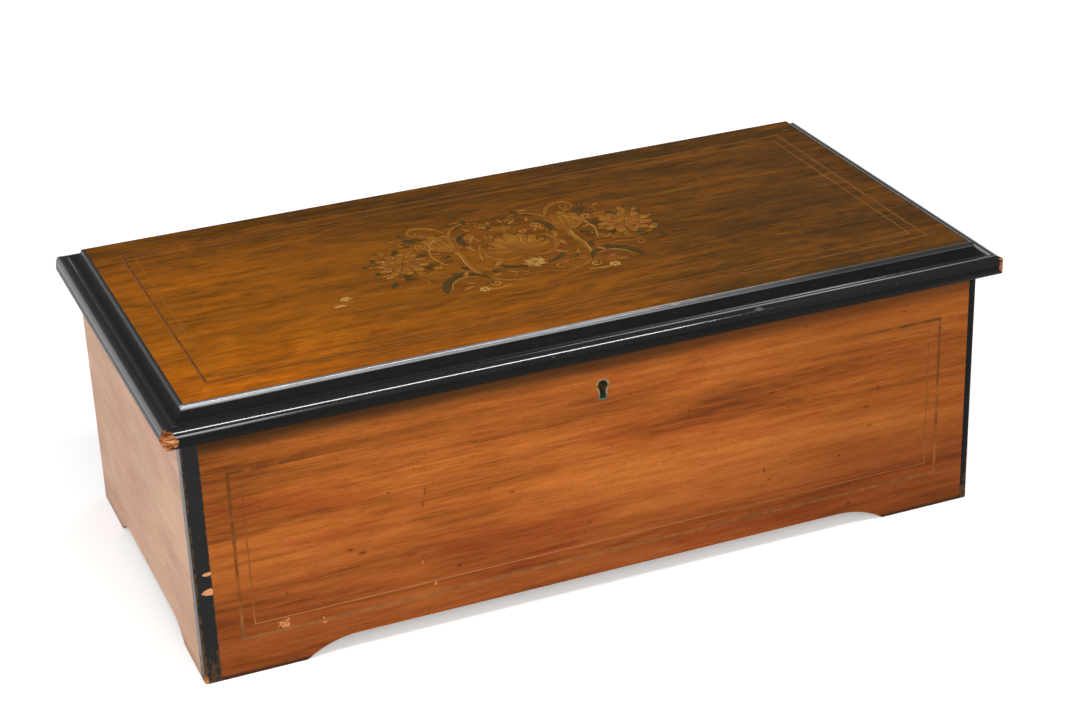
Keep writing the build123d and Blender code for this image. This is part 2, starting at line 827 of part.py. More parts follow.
# ---- spring barrel ----------------------------------------------------------------------------------------------

barrel_left_bearing_x = barrel_x0 - 4 - bearing_thick
barrel_right_bearing_x = great_x1 + 2.0


def spring_barrel():
    """Drum with a closed right end."""
    drum = rod_x(barrel_x0, great_x0, barrel_y, axis_z, barrel_radius)
    drum -= rod_x(barrel_x0, great_x0 - barrel_end, barrel_y, axis_z, barrel_radius - barrel_wall)
    return drum - rod_x(barrel_x0, great_x0, barrel_y, axis_z, winding_radius + running)


def barrel_cover():
    cover = rod_x(barrel_x0, barrel_x0 + barrel_end, barrel_y, axis_z, barrel_radius - barrel_wall)
    return cover - rod_x(barrel_x0, great_x0, barrel_y, axis_z, winding_radius + running)


def great_wheel():
    wheel = gear(great_teeth, great_module, great_x0, great_x1, barrel_y, axis_z, great_phase)
    return wheel - rod_x(great_x0, great_x1, barrel_y, axis_z, winding_radius + running)


def mainspring():
    """Coiled strip inside the drum, drawn as half turns that step outwards."""
    radius = barrel_radius - barrel_wall - spring_turns * spring_pitch - 1.2
    offset = 0.0
    outline = None
    for half_turn in range(2 * spring_turns - 1):
        ring = Circle(radius + spring_strip) - Circle(radius)
        side = 1 if half_turn % 2 == 0 else -1
        half_plane = Pos(0, side * 2 * barrel_radius) * Rectangle(4 * barrel_radius, 4 * barrel_radius)
        part = Pos(offset, 0) * (ring & half_plane)
        outline = part if outline is None else outline + part
        radius += spring_pitch / 2
        offset += side * spring_pitch / 2
    end_radius = radius - spring_pitch / 2
    wall_radius = barrel_radius - barrel_wall - 0.05
    outline += Pos(-(end_radius + wall_radius) / 2, 0.5) * Rectangle(wall_radius - end_radius, 1.0)
    start = barrel_x0 + barrel_end + 1.5
    return extrude(plane_x(start, barrel_y, axis_z) * outline, great_x0 - barrel_end - 1.5 - start)


def barrel_bearings():
    width = 17.0
    return together([bearing_block(barrel_left_bearing_x, barrel_y, width, winding_radius),
                     bearing_block(barrel_right_bearing_x, barrel_y, width, winding_radius)])


# ---- winding lever and ratchet ---------------------------------------------------------------------------------------

plate_thick = 1.5
ratchet_x1 = -(partition_place + partition_thick / 2) - plate_thick - 0.6
ratchet_x0 = ratchet_x1 - ratchet_thick
lever_x1 = ratchet_x0 - 0.6
lever_x0 = lever_x1 - lever_thick
pawl_angle = 180 - lever_rise       # the lever's direction seen along X, from +Y towards +Z
pawl_pivot_radius = 33.0
click_angle = 300.0
click_pivot_radius = 31.0
click_tip_angle = click_angle - 40.0
pawl_face = pawl_angle - 38.0       # steep face of the tooth that the pawl pushes
pawl_tip_angle = pawl_face + 3.2
pawl_tip_radius = ratchet_radius - ratchet_depth + 1.6


def winding_arbor():
    arbor = rod_x(lever_x0 - 3, barrel_right_bearing_x + bearing_thick + 1, barrel_y, axis_z,
                  winding_radius)
    end = rod_x(lever_x0 - 5, lever_x0 - 0.5, barrel_y, axis_z, winding_radius + 2)
    return arbor + end


def ratchet_outline():
    """Saw teeth: each has a steep face for the click and a long back."""
    points = []
    pitch = 360 / ratchet_teeth
    for tooth in range(ratchet_teeth):
        tip = pawl_face + tooth * pitch
        points += [polar(ratchet_radius, tip), polar(ratchet_radius - ratchet_depth, tip - 0.3)]
    return make_face(Polyline(*points, close=True))


def ratchet_wheel():
    wheel = extrude(plane_x(ratchet_x0, barrel_y, axis_z) * ratchet_outline(), ratchet_thick)
    return wheel - rod_x(ratchet_x0, ratchet_x1, barrel_y, axis_z, winding_radius)


def winding_lever():
    """Flat arm on the end of the winding arbor, with the stud of its pawl."""
    place = plane_x(lever_x0, barrel_y, axis_z)
    arm = Pos(lever_length / 2, 0) * Rectangle(lever_length, lever_width)
    outline = Rot(0, 0, pawl_angle) * (arm + Circle(10.0))
    lever = extrude(place * outline, lever_thick)
    sy, sz = polar(pawl_pivot_radius, pawl_angle)
    lever += rod_x(lever_x1, ratchet_x1, barrel_y + sy, axis_z + sz, 2.0)
    return lever - rod_x(lever_x0, lever_x1, barrel_y, axis_z, winding_radius + running)


def lever_knob():
    """Turned knob on the end of the lever."""
    ky, kz = polar(lever_length, pawl_angle)
    middle = (lever_x0 + lever_x1) / 2
    knob = Pos(middle, barrel_y + ky, axis_z + kz) * Sphere(lever_knob_radius)
    return knob - winding_lever()


def finger(pivot_radius, pivot_angle, tip_radius, tip_angle, width, bore):
    """Flat finger from a pivot to a tip beside the ratchet, drawn about the ratchet's middle."""
    pivot = Vector(*polar(pivot_radius, pivot_angle))
    tip = Vector(*polar(tip_radius, tip_angle))
    along = (tip - pivot).normalized()
    across = Vector(-along.Y, along.X)
    points = [pivot + across * width, tip + across * 0.5, tip - across * 0.5, pivot - across * width]
    outline = make_face(Polyline(*[(p.X, p.Y) for p in points], close=True))
    outline += Pos(pivot.X, pivot.Y) * Circle(width)
    return outline - Pos(pivot.X, pivot.Y) * Circle(bore)


def lever_pawl():
    """Pawl on the lever, resting in a tooth of the ratchet."""
    outline = finger(pawl_pivot_radius, pawl_angle, pawl_tip_radius, pawl_tip_angle, 4.0, 2.0 + running)
    return extrude(plane_x(ratchet_x0 + 0.3, barrel_y, axis_z) * outline, ratchet_thick - 0.6)


def holding_click():
    """Click on the partition plate that holds the wound spring."""
    outline = finger(click_pivot_radius, click_angle, ratchet_radius + 1.0, click_tip_angle,
                     4.0, 2.0 + running)
    return extrude(plane_x(ratchet_x0 + 0.3, barrel_y, axis_z) * outline, ratchet_thick - 0.6)


def click_plate():
    """Brass plate on the partition with the click's stud and its leaf spring."""
    outer = -(partition_place + partition_thick / 2)
    plate = block(outer - plate_thick, outer, barrel_y - 26, barrel_y + 30, axis_z - 36, axis_z + 24)
    plate -= rod_x(outer - plate_thick, outer, barrel_y, axis_z, winding_radius + 0.4)
    cy, cz = polar(click_pivot_radius, click_angle)
    return plate + rod_x(ratchet_x0, outer, barrel_y + cy, axis_z + cz, 2.0)


# ---- comb ----------------------------------------------------------------------------------------------------------

comb_length = comb_teeth * tooth_pitch
comb_start = cylinder_start + (cylinder_length + shift_range - comb_length) / 2
comb_tip_y = axis_y - cylinder_radius - comb_clearance
comb_back_y = comb_tip_y - bass_tooth - comb_land
comb_z = axis_z - comb_thick / 2


def comb():
    """Tuned steel comb: long bass teeth on the left, short treble teeth on the right."""
    plate = block(comb_start, comb_start + comb_length, comb_back_y, comb_tip_y, comb_z,
                  comb_z + comb_thick)
    slots = []
    for gap in range(1, comb_teeth):
        x = comb_start + gap * tooth_pitch
        depth = bass_tooth + (treble_tooth - bass_tooth) * gap / comb_teeth
        slots.append(block(x - tooth_gap / 2, x + tooth_gap / 2, comb_tip_y - depth, comb_tip_y + 1,
                           comb_z - 1, comb_z + comb_thick + 1))
    return plate - slots - comb_screws()


def comb_screws():
    screws = []
    for index in range(comb_screw_count):
        x = comb_start + comb_length * (index + 0.5) / comb_screw_count
        y = comb_back_y + comb_land / 2
        top = comb_z + comb_thick
        screw = rod_z(top - comb_thick - 9, top, x, y, comb_screw_radius)
        screw += rod_z(top, top + 2.6, x, y, 3.6)
        screws.append(screw - block(x - 4, x + 4, y - 0.5, y + 0.5, top + 1.6, top + 3))
    return screws


def comb_base():
    base = block(comb_start, comb_start + comb_length, comb_back_y + 1, comb_back_y + comb_land - 1,
                 bed_top, comb_z)
    return base - comb_screws()


# ---- governor --------------------------------------------------------------------------------------------------------

frame_left_x = cylinder_end + shift_range + 0.6
frame_right_x = worm_wheel_x0 + worm_wheel_width + 6.0
frame_plate = 2.4
frame_front_y = axis_y + cylinder_radius + 2.0
frame_rear_y = screw_y + fan_reach + 1.5
frame_back_y = frame_rear_y + 5.0
fan_z = first_z + first_wheel_teeth * train_module / 2 + 2.5
cock_z = fan_z + fan_height + 2.0
cock_thick = 4.0


def governor_frame():
    """Brass frame: foot, two upright plates, and a rear post with the arm over the fan."""
    right_edge = frame_right_x + frame_plate
    foot = block(frame_left_x, right_edge, frame_front_y, frame_back_y, bed_top, bed_top + 4)
    plate_top = fan_z - 1.5
    left = block(frame_left_x, frame_left_x + frame_plate, frame_front_y, frame_rear_y - 4, bed_top,
                 plate_top - 8)
    right = block(frame_right_x, right_edge, frame_front_y, frame_rear_y - 4, bed_top, plate_top - 8)
    post = block(screw_x - 6, right_edge, frame_rear_y, frame_back_y, bed_top, cock_z + cock_thick)
    arm = block(screw_x - 4, screw_x + 4, screw_y - 4, frame_back_y, cock_z, cock_z + cock_thick)
    frame = foot + left + right + post + arm
    for y, z in ((first_y, first_z), (second_y, second_z)):
        frame -= rod_x(frame_left_x, right_edge, y, z, train_radius + running)
    shaft = screw_shaft_radius + running
    frame -= rod_z(bed_top + 1, bed_top + 4, screw_x, screw_y, shaft)
    return frame - rod_z(cock_z, cock_z + cock_thick, screw_x, screw_y, shaft)


def train_arbor(y, z):
    return rod_x(frame_left_x, frame_right_x + frame_plate, y, z, train_radius)


def governor_first_wheel():
    pinion = gear(first_pinion_teeth, wheel_module, wheel_x0 - pinion_overhang,
                  wheel_x1 + pinion_overhang, first_y, first_z, first_pinion_phase)
    wheel = gear(first_wheel_teeth, train_module, train_x0, train_x0 + train_width, first_y, first_z,
                 first_wheel_phase)
    wheel -= crossings(train_x0, train_x0 + train_width, first_y, first_z, 5.0, 14.0, 4, 20)
    return train_arbor(first_y, first_z) + pinion + wheel


def governor_second_wheel():
    pinion = gear(second_pinion_teeth, train_module, train_x0 - pinion_overhang,
                  train_x0 + train_width + pinion_overhang, second_y, second_z, second_pinion_phase)
    wheel = gear(worm_wheel_teeth, worm_module, worm_wheel_x0, worm_wheel_x0 + worm_wheel_width,
                 second_y, second_z, worm_wheel_phase, tip=0.85, root=1.15, thick=0.30)
    return train_arbor(second_y, second_z) + pinion + wheel


def endless_screw():
    """Upright arbor with a single-start thread that meets the second wheel."""
    shaft = rod_z(bed_top + 1.2, cock_z + cock_thick, screw_x, screw_y, screw_shaft_radius)
    core_radius = worm_pitch_radius - 0.75
    low = second_z - thread_length / 2
    core = rod_z(low - 1, low + thread_length + 1, screw_x, screw_y, core_radius)
    lead = pi * worm_module
    turns = round(thread_length / lead)
    path = Helix(pitch=lead, height=lead * turns, radius=worm_pitch_radius)
    outer = worm_pitch_radius + 0.65
    section = make_face(Polyline((core_radius - 0.15, -0.42), (outer, -0.22), (outer, 0.22),
                                 (core_radius - 0.15, 0.42), close=True))
    thread = sweep(Plane.XZ * section, path, is_frenet=True)
    # A crest faces the wheel, in the direction of -Y, at the height of the wheel's arbor.
    base = second_z - lead * (turns // 2) - lead * 0.75
    return shaft + core + Pos(screw_x, screw_y, base) * thread


def fly_fan():
    """Two brass blades on a hub at the top of the endless screw."""
    hub = rod_z(fan_z, fan_z + fan_height, screw_x, screw_y, 2.2)
    blades = block(screw_x - fan_reach, screw_x + fan_reach, screw_y - fan_thick / 2,
                   screw_y + fan_thick / 2, fan_z, fan_z + fan_height)
    return hub + blades - rod_z(fan_z, fan_z + fan_height, screw_x, screw_y, screw_shaft_radius)


# ---- start and change levers --------------------------------------------------------------------------------------------

bracket_thick = 3.0
control_z = bed_top + bracket_thick + rest_gap
slot_margin = 1.5
lever_half = 3.0            # half the width of a control lever


def control_bracket():
    """Plate with the two upright studs that the levers turn on."""
    plate = block(control_x - 8, bed_length / 2, change_y - 10, start_y + 10, bed_top,
                  bed_top + bracket_thick)
    for y in (start_y, change_y):
        plate += rod_z(bed_top, control_z + control_thick + 2, control_x, y, stud_radius)
        plate += rod_z(control_z + control_thick + rest_gap, control_z + control_thick + 2,
                       control_x, y, stud_radius + 1.5)
    return plate


def control_lever(y, inner_x_reach, inner_y_reach):
    """Flat lever on a stud: a long arm with a knob, and a short finger inwards."""
    place = Plane(origin=(control_x, y, control_z))
    arm = Pos(control_reach / 2, 0) * Rectangle(control_reach, 2 * lever_half)
    length = sqrt(inner_x_reach ** 2 + inner_y_reach ** 2)
    angle = degrees(atan2(inner_y_reach, -inner_x_reach))
    inner = Rot(0, 0, angle) * Pos(length / 2, 0) * Rectangle(length, 5.0)
    outline = arm + inner + Circle(6.0) - Circle(stud_radius + running)
    lever = extrude(place * outline, control_thick)
    knob = rod_z(control_z, control_z + 20, control_x + control_reach, y, 3.0)
    knob += Pos(control_x + control_reach, y, control_z + 22) * Sphere(5.0)
    return lever + knob


# ---- tune pointer --------------------------------------------------------------------------------------------------

pointer_z = axis_z
pointer_swing = degrees(asin(shift_range / pointer_tail))
bar_thick = 2.0


def pointer_bracket():
    """Post on the bedplate with the scale that the pointer moves over."""
    post = rod_z(bed_top, pointer_z - bar_thick - rest_gap, pointer_x, pointer_y, 4.0)
    low, high = pointer_z - bar_thick - rest_gap, pointer_z - rest_gap
    bar = block(pointer_x - 5, pointer_x + 5, pointer_y - pointer_long, pointer_y + 5, low, high)
    scale = block(pointer_x - 20, pointer_x + 8, pointer_y - pointer_long - 8,
                  pointer_y - pointer_long + 4, low, high)
    stud = rod_z(high, pointer_z + pointer_thick + 2, pointer_x, pointer_y, 1.5)
    return post + bar + scale + stud


def tune_pointer():
    """Bent pointer: a short tail beside the cylinder's end and a long needle over the scale."""
    tail_x = cylinder_start - rest_gap - 1.0 - pointer_x
    tail = make_face(Polyline((-2.5, 0), (2.5, 0), (tail_x + 1.0, pointer_tail - 3),
                              (tail_x + 1.0, pointer_tail), (tail_x - 1.0, pointer_tail), close=True))
    needle = make_face(Polyline((-2.0, 0), (2.0, 0), (0.4, -pointer_long), (-0.4, -pointer_long),
                                close=True))
    outline = tail + needle + Circle(3.5) - Circle(1.5 + running)
    return extrude(Plane(origin=(pointer_x, pointer_y, pointer_z)) * outline, pointer_thick)


# ---- all the pieces ---------------------------------------------------------------------------------------------------

def all_pieces():
    return {
        "front_panel": front_panel(),
        "back_panel": back_panel(),
        "left_end_panel": end_panel(-1),
        "right_end_panel": end_panel(1),
        "corner_strips": together([corner_strip(-1), corner_strip(1)]),
        "bottom_board": bottom_board(),
        "bearer_rails": bearer_rails(),
        "partitions": together([left_partition(), right_partition()]),
        "keyhole_liner": escutcheon(),
        "lock_case": lock_case(),
        "lock_bolt": lock_bolt(),
        "lock_strike": lock_strike(),
        "case_hinge_leaves": case_hinge_leaves(),
        "case_hinge_screws": together(case_hinge_screws()),
        "lid_hinge_leaves": lid_hinge_leaves(),
        "lid_hinge_screws": together(lid_hinge_screws()),
        "hinge_pins": hinge_pins(),
        "lid_board": lid_board(),
        "lid_moulding_front": lid_moulding(0),
        "lid_moulding_right": lid_moulding(1),
        "lid_moulding_back": lid_moulding_back(),
        "lid_moulding_left": lid_moulding(3),
        "tune_card": tune_card(),
        "glass_frame": glass_frame(),
        "glass_pane": glass_pane(),
        "glass_lid_knob": glass_lid_knob(),
        "glass_case_hinges": glass_case_hinges(),
        "glass_lid_hinges": glass_lid_hinges(),
        "bedplate": bedplate(),
        "bedplate_bolts": together(bedplate_bolts()),
        "arbor_bearings": together([cylinder_bearings(), barrel_bearings()]),
        "cylinder_tube": cylinder_tube(),
        "cylinder_caps": cylinder_caps(),
        "cylinder_arbor": cylinder_arbor(),
        "cylinder_wheel": cylinder_wheel(),
        "change_snail": change_snail(),
        "comb": comb(),
        "comb_base": comb_base(),
        "comb_screws": together(comb_screws()),
        "spring_barrel": spring_barrel(),
        "barrel_cover": barrel_cover(),
        "great_wheel": great_wheel(),
        "mainspring": mainspring(),
        "winding_arbor": winding_arbor(),
        "ratchet_wheel": ratchet_wheel(),
        "winding_lever": winding_lever(),
        "lever_knob": lever_knob(),
        "lever_pawl": lever_pawl(),
        "holding_click": holding_click(),
        "click_plate": click_plate(),
        "governor_frame": governor_frame(),
        "governor_first_wheel": governor_first_wheel(),
        "governor_second_wheel": governor_second_wheel(),
        "endless_screw": endless_screw(),
        "fly_fan": fly_fan(),
        "control_bracket": control_bracket(),
        "start_lever": control_lever(start_y, 34.0, 22.0),
        "change_lever": control_lever(change_y, 24.0, 10.0),
        "pointer_bracket": pointer_bracket(),
        "tune_pointer": tune_pointer(),
    }


os.makedirs("parts", exist_ok=True)
for name, piece in all_pieces().items():
    export_step(piece, f"parts/{name}.step")
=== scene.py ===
"""Looks of a Swiss type cylinder musical box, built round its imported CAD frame.

Lengths are in metres, except where a comment or docstring says millimetres.
"""

import math
import random
from functools import reduce

import bmesh
import bpy
from mathutils import Matrix, Vector


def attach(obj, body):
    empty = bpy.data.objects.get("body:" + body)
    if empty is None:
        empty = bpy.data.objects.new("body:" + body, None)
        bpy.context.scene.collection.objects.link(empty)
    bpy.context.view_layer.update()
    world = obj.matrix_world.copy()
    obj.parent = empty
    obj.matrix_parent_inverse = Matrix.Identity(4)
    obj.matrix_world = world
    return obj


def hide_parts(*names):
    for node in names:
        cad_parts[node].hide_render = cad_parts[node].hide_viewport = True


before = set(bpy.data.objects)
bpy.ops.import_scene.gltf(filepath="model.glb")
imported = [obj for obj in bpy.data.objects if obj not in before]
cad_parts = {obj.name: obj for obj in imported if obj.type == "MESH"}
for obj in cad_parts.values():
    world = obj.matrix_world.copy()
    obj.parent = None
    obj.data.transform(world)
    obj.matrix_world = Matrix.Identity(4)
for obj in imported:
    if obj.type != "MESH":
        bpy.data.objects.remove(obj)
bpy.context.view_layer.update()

MM = 0.001
LID_TOP = 0.198
CASE_TOP = 0.176            # the corner strips end here, and the lid's mouldings start
CASE_END = 0.280            # half the length of the case
FACE = -0.135               # front of the case
INSIDE = 0.0005             # depth over which outer wood turns into inner wood
chance = random.Random(41)


# ---- shader tools

def plug(tree, socket, value):
    """Links a socket to an amount, or sets it to a number, a vector or a colour's three parts."""
    if isinstance(value, Amount):
        tree.links.new(value.socket, socket)
    else:
        socket.default_value = (*value, 1.0) if socket.type == "RGBA" else value


class Amount:
    """A value inside a material; arithmetic on it adds Math nodes."""

    def __init__(self, tree, socket):
        self.tree = tree
        self.socket = socket

    def maths(self, operation, *values):
        node = self.tree.nodes.new("ShaderNodeMath")
        node.operation = operation
        for socket, value in zip(node.inputs, values):
            plug(self.tree, socket, value)
        return Amount(self.tree, node.outputs[0])

    def __add__(self, other):
        return self.maths("ADD", self, other)

    def __sub__(self, other):
        return self.maths("SUBTRACT", self, other)

    def __rsub__(self, other):
        return self.maths("SUBTRACT", other, self)

    def __mul__(self, other):
        return self.maths("MULTIPLY", self, other)

    __radd__ = __add__

    def least(self, other):
        return self.maths("MINIMUM", self, other)

    def most(self, other):
        return self.maths("MAXIMUM", self, other)

    def size(self):
        return self.maths("ABSOLUTE", self)

    def to_and_fro(self, reach):
        """Rises from 0 to the reach and falls back, over and over."""
        return self.maths("PINGPONG", self, reach)


class Nodes:
    """The nodes of one tree; node() is the only way that nodes other than maths are added."""

    def __init__(self, tree):
        self.tree = tree
        tree.nodes.clear()

    def node(self, kind, settings=None, inputs=None, out=0):
        """Adds a node and gives one of its outputs, if it has any."""
        made = self.tree.nodes.new("ShaderNode" + kind)
        for key, value in (settings or {}).items():
            setattr(made, key, value)
        for key, value in (inputs or {}).items():
            plug(self.tree, made.inputs[key], value)
        return Amount(self.tree, made.outputs[out]) if made.outputs else None

    def fade(self, value, start, end, low=0.0, high=1.0):
        """Smoothly from low at start to high at end."""
        return self.node("MapRange", {"interpolation_type": "SMOOTHSTEP"},
                         {"Value": value, "From Min": start, "From Max": end,
                          "To Min": low, "To Max": high})

    def span(self, value, rise, full, turn, fall):
        """Rises from 0 to 1, stays there from full to turn, then falls to 0."""
        return self.fade(value, rise, full) * self.fade(value, fall, turn)

    def mix(self, factor, first, second, kind="MIX"):
        return self.node("Mix", {"data_type": "RGBA", "blend_type": kind, "clamp_factor": True},
                         {0: factor, 6: first, 7: second}, out=2)

    def seen_directly(self):
        """1 for camera, mirror and through-glass rays."""
        return reduce(Amount.most, [self.node("LightPath", out=name) for name in
                                    ("Is Camera Ray", "Is Glossy Ray", "Is Transmission Ray")])


class Finish(Nodes):
    """One material, laid out on object coordinates."""

    def __init__(self, name):
        self.material = bpy.data.materials.new(name)
        self.material.use_nodes = True
        super().__init__(self.material.node_tree)
        self.place = self.node("TexCoord", out="Object")

    def placed(self, scale, at, turn=(0, 0, 0)):
        """Object coordinates, in metres, moved, turned and scaled."""
        return self.node("Mapping", inputs={"Vector": self.place, "Location": at,
                                            "Rotation": turn, "Scale": scale})

    def noise(self, scale, detail=3, rough=0.5, bend=0, at=(0, 0, 0), turn=(0, 0, 0)):
        return self.node("TexNoise", inputs={"Vector": self.placed(scale, at, turn), "Scale": 1.0,
                                             "Detail": detail, "Roughness": rough,
                                             "Distortion": bend})

    def along(self, axis):
        """One of the three object coordinates."""
        return self.node("SeparateXYZ", inputs={0: self.place}, out="XYZ".index(axis))

    def spot(self, middle, radii, soft):
        """1 inside an ellipsoid, in millimetres, falling to 0 at its edge."""
        scale = [1 / (r * MM) for r in radii]
        shift = [-m * MM * s for m, s in zip(middle, scale)]
        reach = self.node("VectorMath", {"operation": "LENGTH"},
                          {0: self.placed(scale, shift)}, out="Value")
        return self.fade(reach, 1 - soft, 1, 1.0, 0.0)

    def spots(self, places, soft):
        """The spots of a list, each with its middle and radii, in millimetres."""
        return reduce(Amount.most, [self.spot(*place, soft) for place in places])

    def tinted(self, factor, colour, shade):
        """The colour, multiplied by a shade as far as the factor says."""
        return self.mix(factor, colour, self.mix(1.0, colour, shade, "MULTIPLY"))

    def ramp(self, value, stops):
        """The colour at a value, between stops that each have a position and a colour."""
        found = self.node("ValToRGB", inputs={0: value})
        elements = found.socket.node.color_ramp.elements
        while len(elements) < len(stops):
            elements.new(0.5)
        for element, (position, colour) in zip(elements, stops):
            element.position = position
            element.color = (*colour, 1.0)
        return found

    def bump(self, height, distance, strength):
        return self.node("Bump", inputs={"Height": height, "Distance": distance,
                                         "Strength": strength})

    def surface(self, colour, rough, metal=0.0, shape=None, level=0.5, **others):
        """The shader itself and the output; gives the finished material."""
        inputs = {"Base Color": colour, "Roughness": rough, "Metallic": metal,
                  "Specular IOR Level": level}
        if shape is not None:
            inputs["Normal"] = shape
        inputs.update({key.replace("_", " "): value for key, value in others.items()})
        self.node("OutputMaterial", inputs={0: self.node("BsdfPrincipled", inputs=inputs)})
        return self.material


# ---- wood finishes

def grain(f, length, width, seed, along="x"):
    """Long streaks of wood; length and width are in millimetres."""
    slow, quick = 1 / (length * MM), 1 / (width * MM)
    scale = (slow, quick, quick) if along == "x" else (quick, slow, quick)
    return f.noise(scale, detail=4, rough=0.55, bend=0.25, at=(seed, seed * 1.7, seed * 0.6))


VARNISH = (1.0, 0.66, 0.30)         # tint of the light that it mirrors
CHIPPED = (0.66, 0.29, 0.11)        # fresh wood under the veneer's surface

# Marks on the front board: middle across and up, then half width and half height, in millimetres
DENTS = [(181, 27, 2.2, 2.0), (-178, 73, 3.4, 1.7), (-170, 69, 4.5, 2.0), (-221.7, 52.8, 2.0, 1.2),
         (-125.5, 103, 1.0, 5.0), (-127.5, 94, 0.8, 4.0), (-66, 88, 3.0, 1.2),
         (118, 60, 1.2, 3.2), (196, 91, 5.0, 1.3), (199, 76, 4.0, 1.2), (176, 58, 2.2, 1.6),
         (122, 52, 2.0, 1.4), (184, 18, 3.2, 2.0), (224, 157, 1.8, 1.2), (124, 118, 4.0, 1.1),
         (-150, 108, 2.4, 1.0), (205, 104, 1.6, 2.6), (-12, 52, 2.5, 1.2), (62, 118, 1.4, 1.0),
         (-105, 43, 3.0, 1.3)]
CHIPS = [(-224, 31, 14, 10.0), (-198.5, 26, 4.5, 7.0), (-122, 34, 3.0, 3.0), (-130, 52, 2.4, 3.0),
         (40, 84, 3, 2)]
MARK_DEPTH = 9              # millimetres, to each side of the face


def front_spots(f, marks, soft):
    """Spots from a list of marks on the front board."""
    return f.spots([((across, FACE / MM, up), (wide, MARK_DEPTH, high))
                    for across, up, wide, high in marks], soft)


def front_veneer():
    """Straight-grained veneer with worm dots and chips; painted shade low down and at the sides
    and a painted shadow under the lid leave it brightest in the upper middle.
    """
    f = Finish("front_veneer")
    height, across = f.along("Z"), f.along("X")
    # tone of the wood, from broad bands to fibres
    bands = f.noise((2.6, 1, 34), 5, 0.55, 0.5, at=(5, 0, 3))
    streaks = f.noise((9, 1, 210), 5, 0.62, 0.25, at=(3, 1, 8))
    fibres = f.noise((42, 1, 620), 4, 0.65, 0.15, at=(2, 5, 1))
    clouds = f.noise((5, 5, 17), 3, 0.5, 0.6, at=(2, 1, 4))
    tone = bands * 0.50 + streaks * 0.40 + fibres * 0.30 + clouds * 0.28 - 0.22
    colour = f.ramp(tone, [(0.33, (0.15, 0.040, 0.009)), (0.44, (0.31, 0.082, 0.014)),
                           (0.54, (0.47, 0.130, 0.022)), (0.70, (0.64, 0.205, 0.040))])
    # painted shade low down and at the sides, red patches, dark lines and a painted shadow under
    # the lid
    low = f.fade(height + clouds * 0.06, 0.150, 0.055) * 0.85
    colour = f.tinted(low, colour, (0.60, 0.52, 0.68))
    sides = f.fade(across + clouds * 0.10, 0.10, 0.25).most(f.fade(across, -0.20, -0.27) * 0.4)
    colour = f.tinted(sides, colour, (0.72, 0.68, 0.62))
    red = f.fade(f.noise((7, 1, 26), 4, 0.55, 0.8, at=(6, 2, 2)), 0.52, 0.70) * 0.55
    colour = f.tinted(red, colour, (0.72, 0.46, 0.58))
    lines = f.fade(f.noise((3.2, 1, 120), 5, 0.7, 0.3, at=(8, 3, 5)), 0.58, 0.70) * 0.55
    colour = f.mix(lines, colour, (0.13, 0.034, 0.009))
    # painted shadow of the lid's moulding across the top of the front board
    painted_lid_shadow = f.fade(height, 0.1560, 0.1675) * f.fade(across, CASE_END, -0.10, 0.55, 0.85)
    colour = f.mix(painted_lid_shadow, colour, (0.030, 0.018, 0.008))
    # pores, dents, specks, chips, rubbed streaks and a dark band along the bottom edge
    pores = f.fade(f.noise((160, 900, 1500), 2, 0.6), 0.58, 0.70) * 0.4
    colour = f.mix(pores, colour, (0.12, 0.03, 0.008))
    dents = front_spots(f, DENTS, 0.9)
    colour = f.mix(dents * 0.7, colour, (0.055, 0.014, 0.006))
    specks = f.fade(f.noise((420, 420, 420), 1, 0.4, at=(9, 4, 1)), 0.750, 0.775) * 0.5
    colour = f.mix(specks, colour, (0.07, 0.018, 0.008))
    flakes = f.noise((640, 420, 640), 3, 0.6, 0.5)
    bare = f.fade(front_spots(f, CHIPS, 0.95) * 0.50 + flakes, 0.90, 0.96) * 0.85
    colour = f.mix(bare, colour, CHIPPED)
    rubbed = f.fade(f.noise((30, 90, 300), 4, 0.75, at=(3, 3, 3)), 0.62, 0.76) * 0.28
    colour = f.mix(rubbed, colour, (0.62, 0.25, 0.075))
    foot = f.fade(height + flakes * 0.003, 0.0056, 0.0026) * 0.9
    colour = f.mix(foot, colour, (0.030, 0.015, 0.009))
    behind = FACE + 0.001
    inside = f.fade(f.along("Y"), behind, behind + INSIDE)
    colour = f.mix(inside, colour, plain_colour(f))
    relief = fibres * 0.4 + pores * -0.8 + bare * -1.2
    rough = 0.40 + fibres * 0.14 + bare * 0.25 + inside * 0.2
    return f.surface(colour, rough, shape=f.bump(relief, 0.00012, 0.5), level=0.10,
                     Specular_Tint=VARNISH)


def plain_colour(f, along="x", pale=(0.50, 0.30, 0.14), dark=(0.33, 0.17, 0.07)):
    """Unpolished pale wood, as inside the case."""
    lines = grain(f, 140, 3.2, 11, along)
    broad = grain(f, 260, 22, 4, along)
    return f.ramp(lines * 0.6 + broad * 0.4, [(0.32, dark), (0.62, pale)])


